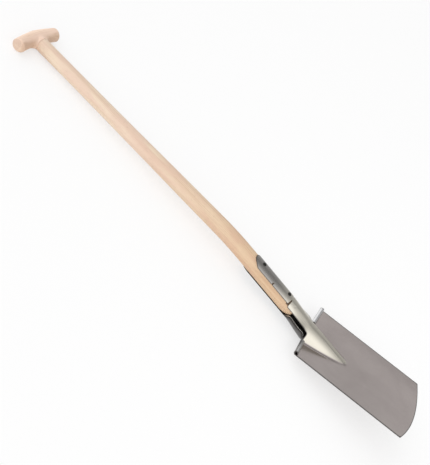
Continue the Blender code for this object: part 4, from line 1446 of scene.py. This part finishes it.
def front_colours(grain):
    """The plate has a painted reflection towards the cutting edge and on one side, the frog a painted
    highlight, the strap painted shade, and one tread is painted lighter than the other.
    """
    x, _, z = parts(grain)
    painted_sheen = step(z, SHEEN_LOW_Z, SHEEN_END_Z, SHEEN_LIFT, 1.0)
    painted_sheen = painted_sheen * step(x, -BLADE_HALF_WIDTH, SHEEN_SIDE_X, SHEEN_SIDE_LIFT, 1.0)
    colours = {label: scaled(FRONT_STEEL[label][:3], painted_sheen) for label in ("Color", "Tint")}
    pressed = blend(step(z, STRAP_PALE_Z, STRAP_DARK_Z), FROG_HIGHLIGHT_STEEL, STRAP_SHADE_STEEL)
    treads = blend(maths("GREATER_THAN", x, 0.0), LEFT_TREAD_HIGHLIGHT, RIGHT_TREAD_SHADE)
    outside = step(maths("ABSOLUTE", x), FROG_HALF_WIDTH - MM, FROG_HALF_WIDTH + MM)
    return {**colours, "Formed Color": blend(outside, pressed, treads)}


def back_colours(grain):
    """The back strap's sheared face has a painted highlight at the mouth and painted shade above it."""
    higher = step(parts(grain)[2], SHEAR_HIGHLIGHT_Z, SHEAR_SHADE_Z)
    return {"Sheared Color": blend(higher, SHEAR_HIGHLIGHT, SHEAR_SHADE)}


# %% Steel materials
def tool_coordinates(tree):
    """Object coordinates in the tool's own frame."""
    return turned_coordinates(tree, LIE)


def metallic(name, look, bump, place=tool_coordinates, stored=(), colours=None):
    """Material that uses the steel group, with stored attributes and colours that change."""
    material = new_material(name)
    tree = material.node_tree
    grain = place(tree)
    values = {"Grain": grain, "Rim": RIM_REACH, **look}
    values.update({label: attribute(tree, label.lower(), "Fac") for label in stored})
    values.update(colours(grain) if colours else {})
    steel = add_node(tree, "ShaderNodeGroup", values, node_tree=steel_group)
    tree.nodes["Principled BSDF"].inputs["Metallic"].default_value = 1.0
    lead_in(material, steel, Value(steel.outputs["Color"]), bump, STEEL_RELIEF)
    return material


front_steel = metallic("satin_front", FRONT_STEEL, 0.25, stored_grain, ("Rim", "Formed"), front_colours)
back_steel = metallic("satin_back", BACK_STEEL_PAINTED_DARK, 0.4, stored_grain, ("Rim",), back_colours)
rivet_steel = metallic("dark_rivet", RIVET_STEEL, 0.6)
pin_steel = metallic("dark_pin", RIVET_STEEL, 0.5)


# %% Give every piece its material
def dress(piece, material):
    """Give one material to a whole piece."""
    piece.data.materials.clear()
    piece.data.materials.append(material)
    piece.data.polygons.foreach_set("material_index", [0] * len(piece.data.polygons))


dress(blade, front_steel)
dress(back_strap, back_steel)
dress(shaft, shaft_wood)
dress(grip, grip_wood)
dress(rivets, rivet_steel)
for node, material in (("grip_wedge", wedge_wood), ("grip_pin", pin_steel)):
    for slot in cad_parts[node].material_slots:
        slot.material = material

# %% Lay every piece down in the room
finish_piece(blade, "blade_steel", "blade")
finish_piece(back_strap, "strap_steel", "back_strap")
finish_piece(shaft, "ash_wood", "shaft")
finish_piece(grip, "grip_wood", "t_grip")
finish_piece(rivets, "dark_steel", "upper_rivet", "lower_rivet")

# %% Camera
PHOTO_EYE = Vector((1107.334, 913.987, 412.416)) * MM
PHOTO_FORWARD = Vector((-0.786, -0.609, 0.109))
PHOTO_RIGHT = Vector((-0.443, 0.432, -0.785))
PHOTO_FOCAL_PIXELS = 639.28
PHOTO_HEIGHT = 465
SENSOR = 36.0

forward = PHOTO_FORWARD.normalized()
down = forward.cross(PHOTO_RIGHT.normalized()).normalized()
right = down.cross(forward)
eye = Matrix((right, -down, -forward)).transposed().to_4x4()
eye.translation = PHOTO_EYE
camera = bpy.data.objects.new("photo_camera", bpy.data.cameras.new("photo_camera"))
camera.data.sensor_fit = "VERTICAL"
camera.data.sensor_height = SENSOR
camera.data.lens = PHOTO_FOCAL_PIXELS * SENSOR / PHOTO_HEIGHT
camera.matrix_world = LIE @ eye
bpy.context.scene.collection.objects.link(camera)
bpy.context.scene.camera = camera
print("camera at", [round(v, 3) for v in camera.matrix_world.translation])

# %% [markdown]
# ## Studio
#
# Satin steel shows what stands round it, so the light is drawn as a studio. The walls have one plain
# brightness with soft round patches on it: lighter behind on the left, high on the left and at the near
# right side, and a little darker overhead. One large softbox hangs past the cutting edge. The floor is
# near white and keeps the spade's soft shadow. A share of what camera, glossy and transmission rays see
# of it is the plain white of a backdrop.

# %% Walls
WALL = 0.60
# For each patch: its direction, the cosines at which it starts and is full, and what it adds.
WALL_PATCHES = (((-0.62, 0.72, 0.15), 0.70, 0.97, 0.6),
                ((-0.80, -0.25, 0.55), 0.45, 0.95, 0.7),
                ((0.22, 0.22, 0.95), 0.87, 0.985, -0.22),
                ((0.38, -0.88, 0.30), 0.60, 1.06, 1.15))
WHITE = (1, 1, 1, 1)

world = bpy.data.worlds.new("studio")
world.use_nodes = True
direction = output(world.node_tree, "ShaderNodeTexCoord", out="Generated")
brightness = WALL
for towards, start, full, amount in WALL_PATCHES:
    facing = vectors("DOT_PRODUCT", direction, Vector(towards).normalized(), out="Value")
    brightness = step(facing, start, full, 0.0, amount) + brightness
background = world.node_tree.nodes["Background"]
join(brightness, background.inputs["Strength"])
background.inputs["Color"].default_value = WHITE
bpy.context.scene.world = world
print("studio walls", WALL, "with", len(WALL_PATCHES), "patches")

# %% Floor
FLOOR_SIZE = 7.0
FLOOR_DROP = 0.0005
FLOOR_COLOUR = (0.99, 0.99, 0.99, 1)
PAPER_ROUGHNESS = 0.95
PAPER_SHINE = 0.1
BACKDROP_SHARE = 0.6

floor_mesh = bmesh.new()
bmesh.ops.create_grid(floor_mesh, x_segments=1, y_segments=1, size=FLOOR_SIZE)
floor = new_piece("floor", floor_mesh)
floor.location.z = -FLOOR_DROP
paper = new_material("paper_floor")
tree = paper.node_tree
paper_shader = tree.nodes["Principled BSDF"]
paper_shader.inputs["Base Color"].default_value = FLOOR_COLOUR
paper_shader.inputs["Roughness"].default_value = PAPER_ROUGHNESS
paper_shader.inputs["Specular IOR Level"].default_value = PAPER_SHINE
rays = add_node(tree, "ShaderNodeLightPath").outputs
seen = maths("MAXIMUM", Value(rays["Is Camera Ray"]), Value(rays["Is Glossy Ray"]))
seen = maths("MAXIMUM", seen, Value(rays["Is Transmission Ray"]))
white = output(tree, "ShaderNodeEmission", {"Color": WHITE, "Strength": 1.0})
lit = output(tree, "ShaderNodeMixShader", {
    0: seen * BACKDROP_SHARE, 1: Value(paper_shader.outputs[0]), 2: white})
join(lit, tree.nodes["Material Output"].inputs["Surface"])
floor.data.materials.append(paper)
print("floor", 2 * FLOOR_SIZE, "m across")

# %% Softbox
SOFTBOX_PLACE = Vector((1.25, -0.55, 1.75))
SOFTBOX_TARGET = Vector((0.3, 0, 0))
SOFTBOX_SIZE = (1.3, 2.3)
SOFTBOX_POWER = 4.0

softbox = bpy.data.objects.new("softbox", bpy.data.lights.new("softbox", "AREA"))
softbox.data.shape = "RECTANGLE"
softbox.data.size, softbox.data.size_y = SOFTBOX_SIZE
softbox.data.energy = SOFTBOX_POWER
aim = (SOFTBOX_TARGET - SOFTBOX_PLACE).normalized()
side = aim.cross(Vector((0, 1, 0))).normalized()
softbox.matrix_world = Matrix.Translation(SOFTBOX_PLACE) @ Matrix(
    (side, -aim.cross(side), -aim)).transposed().to_4x4()
bpy.context.scene.collection.objects.link(softbox)
bpy.context.scene.view_settings.view_transform = "Standard"
print("softbox of", SOFTBOX_POWER, "W")
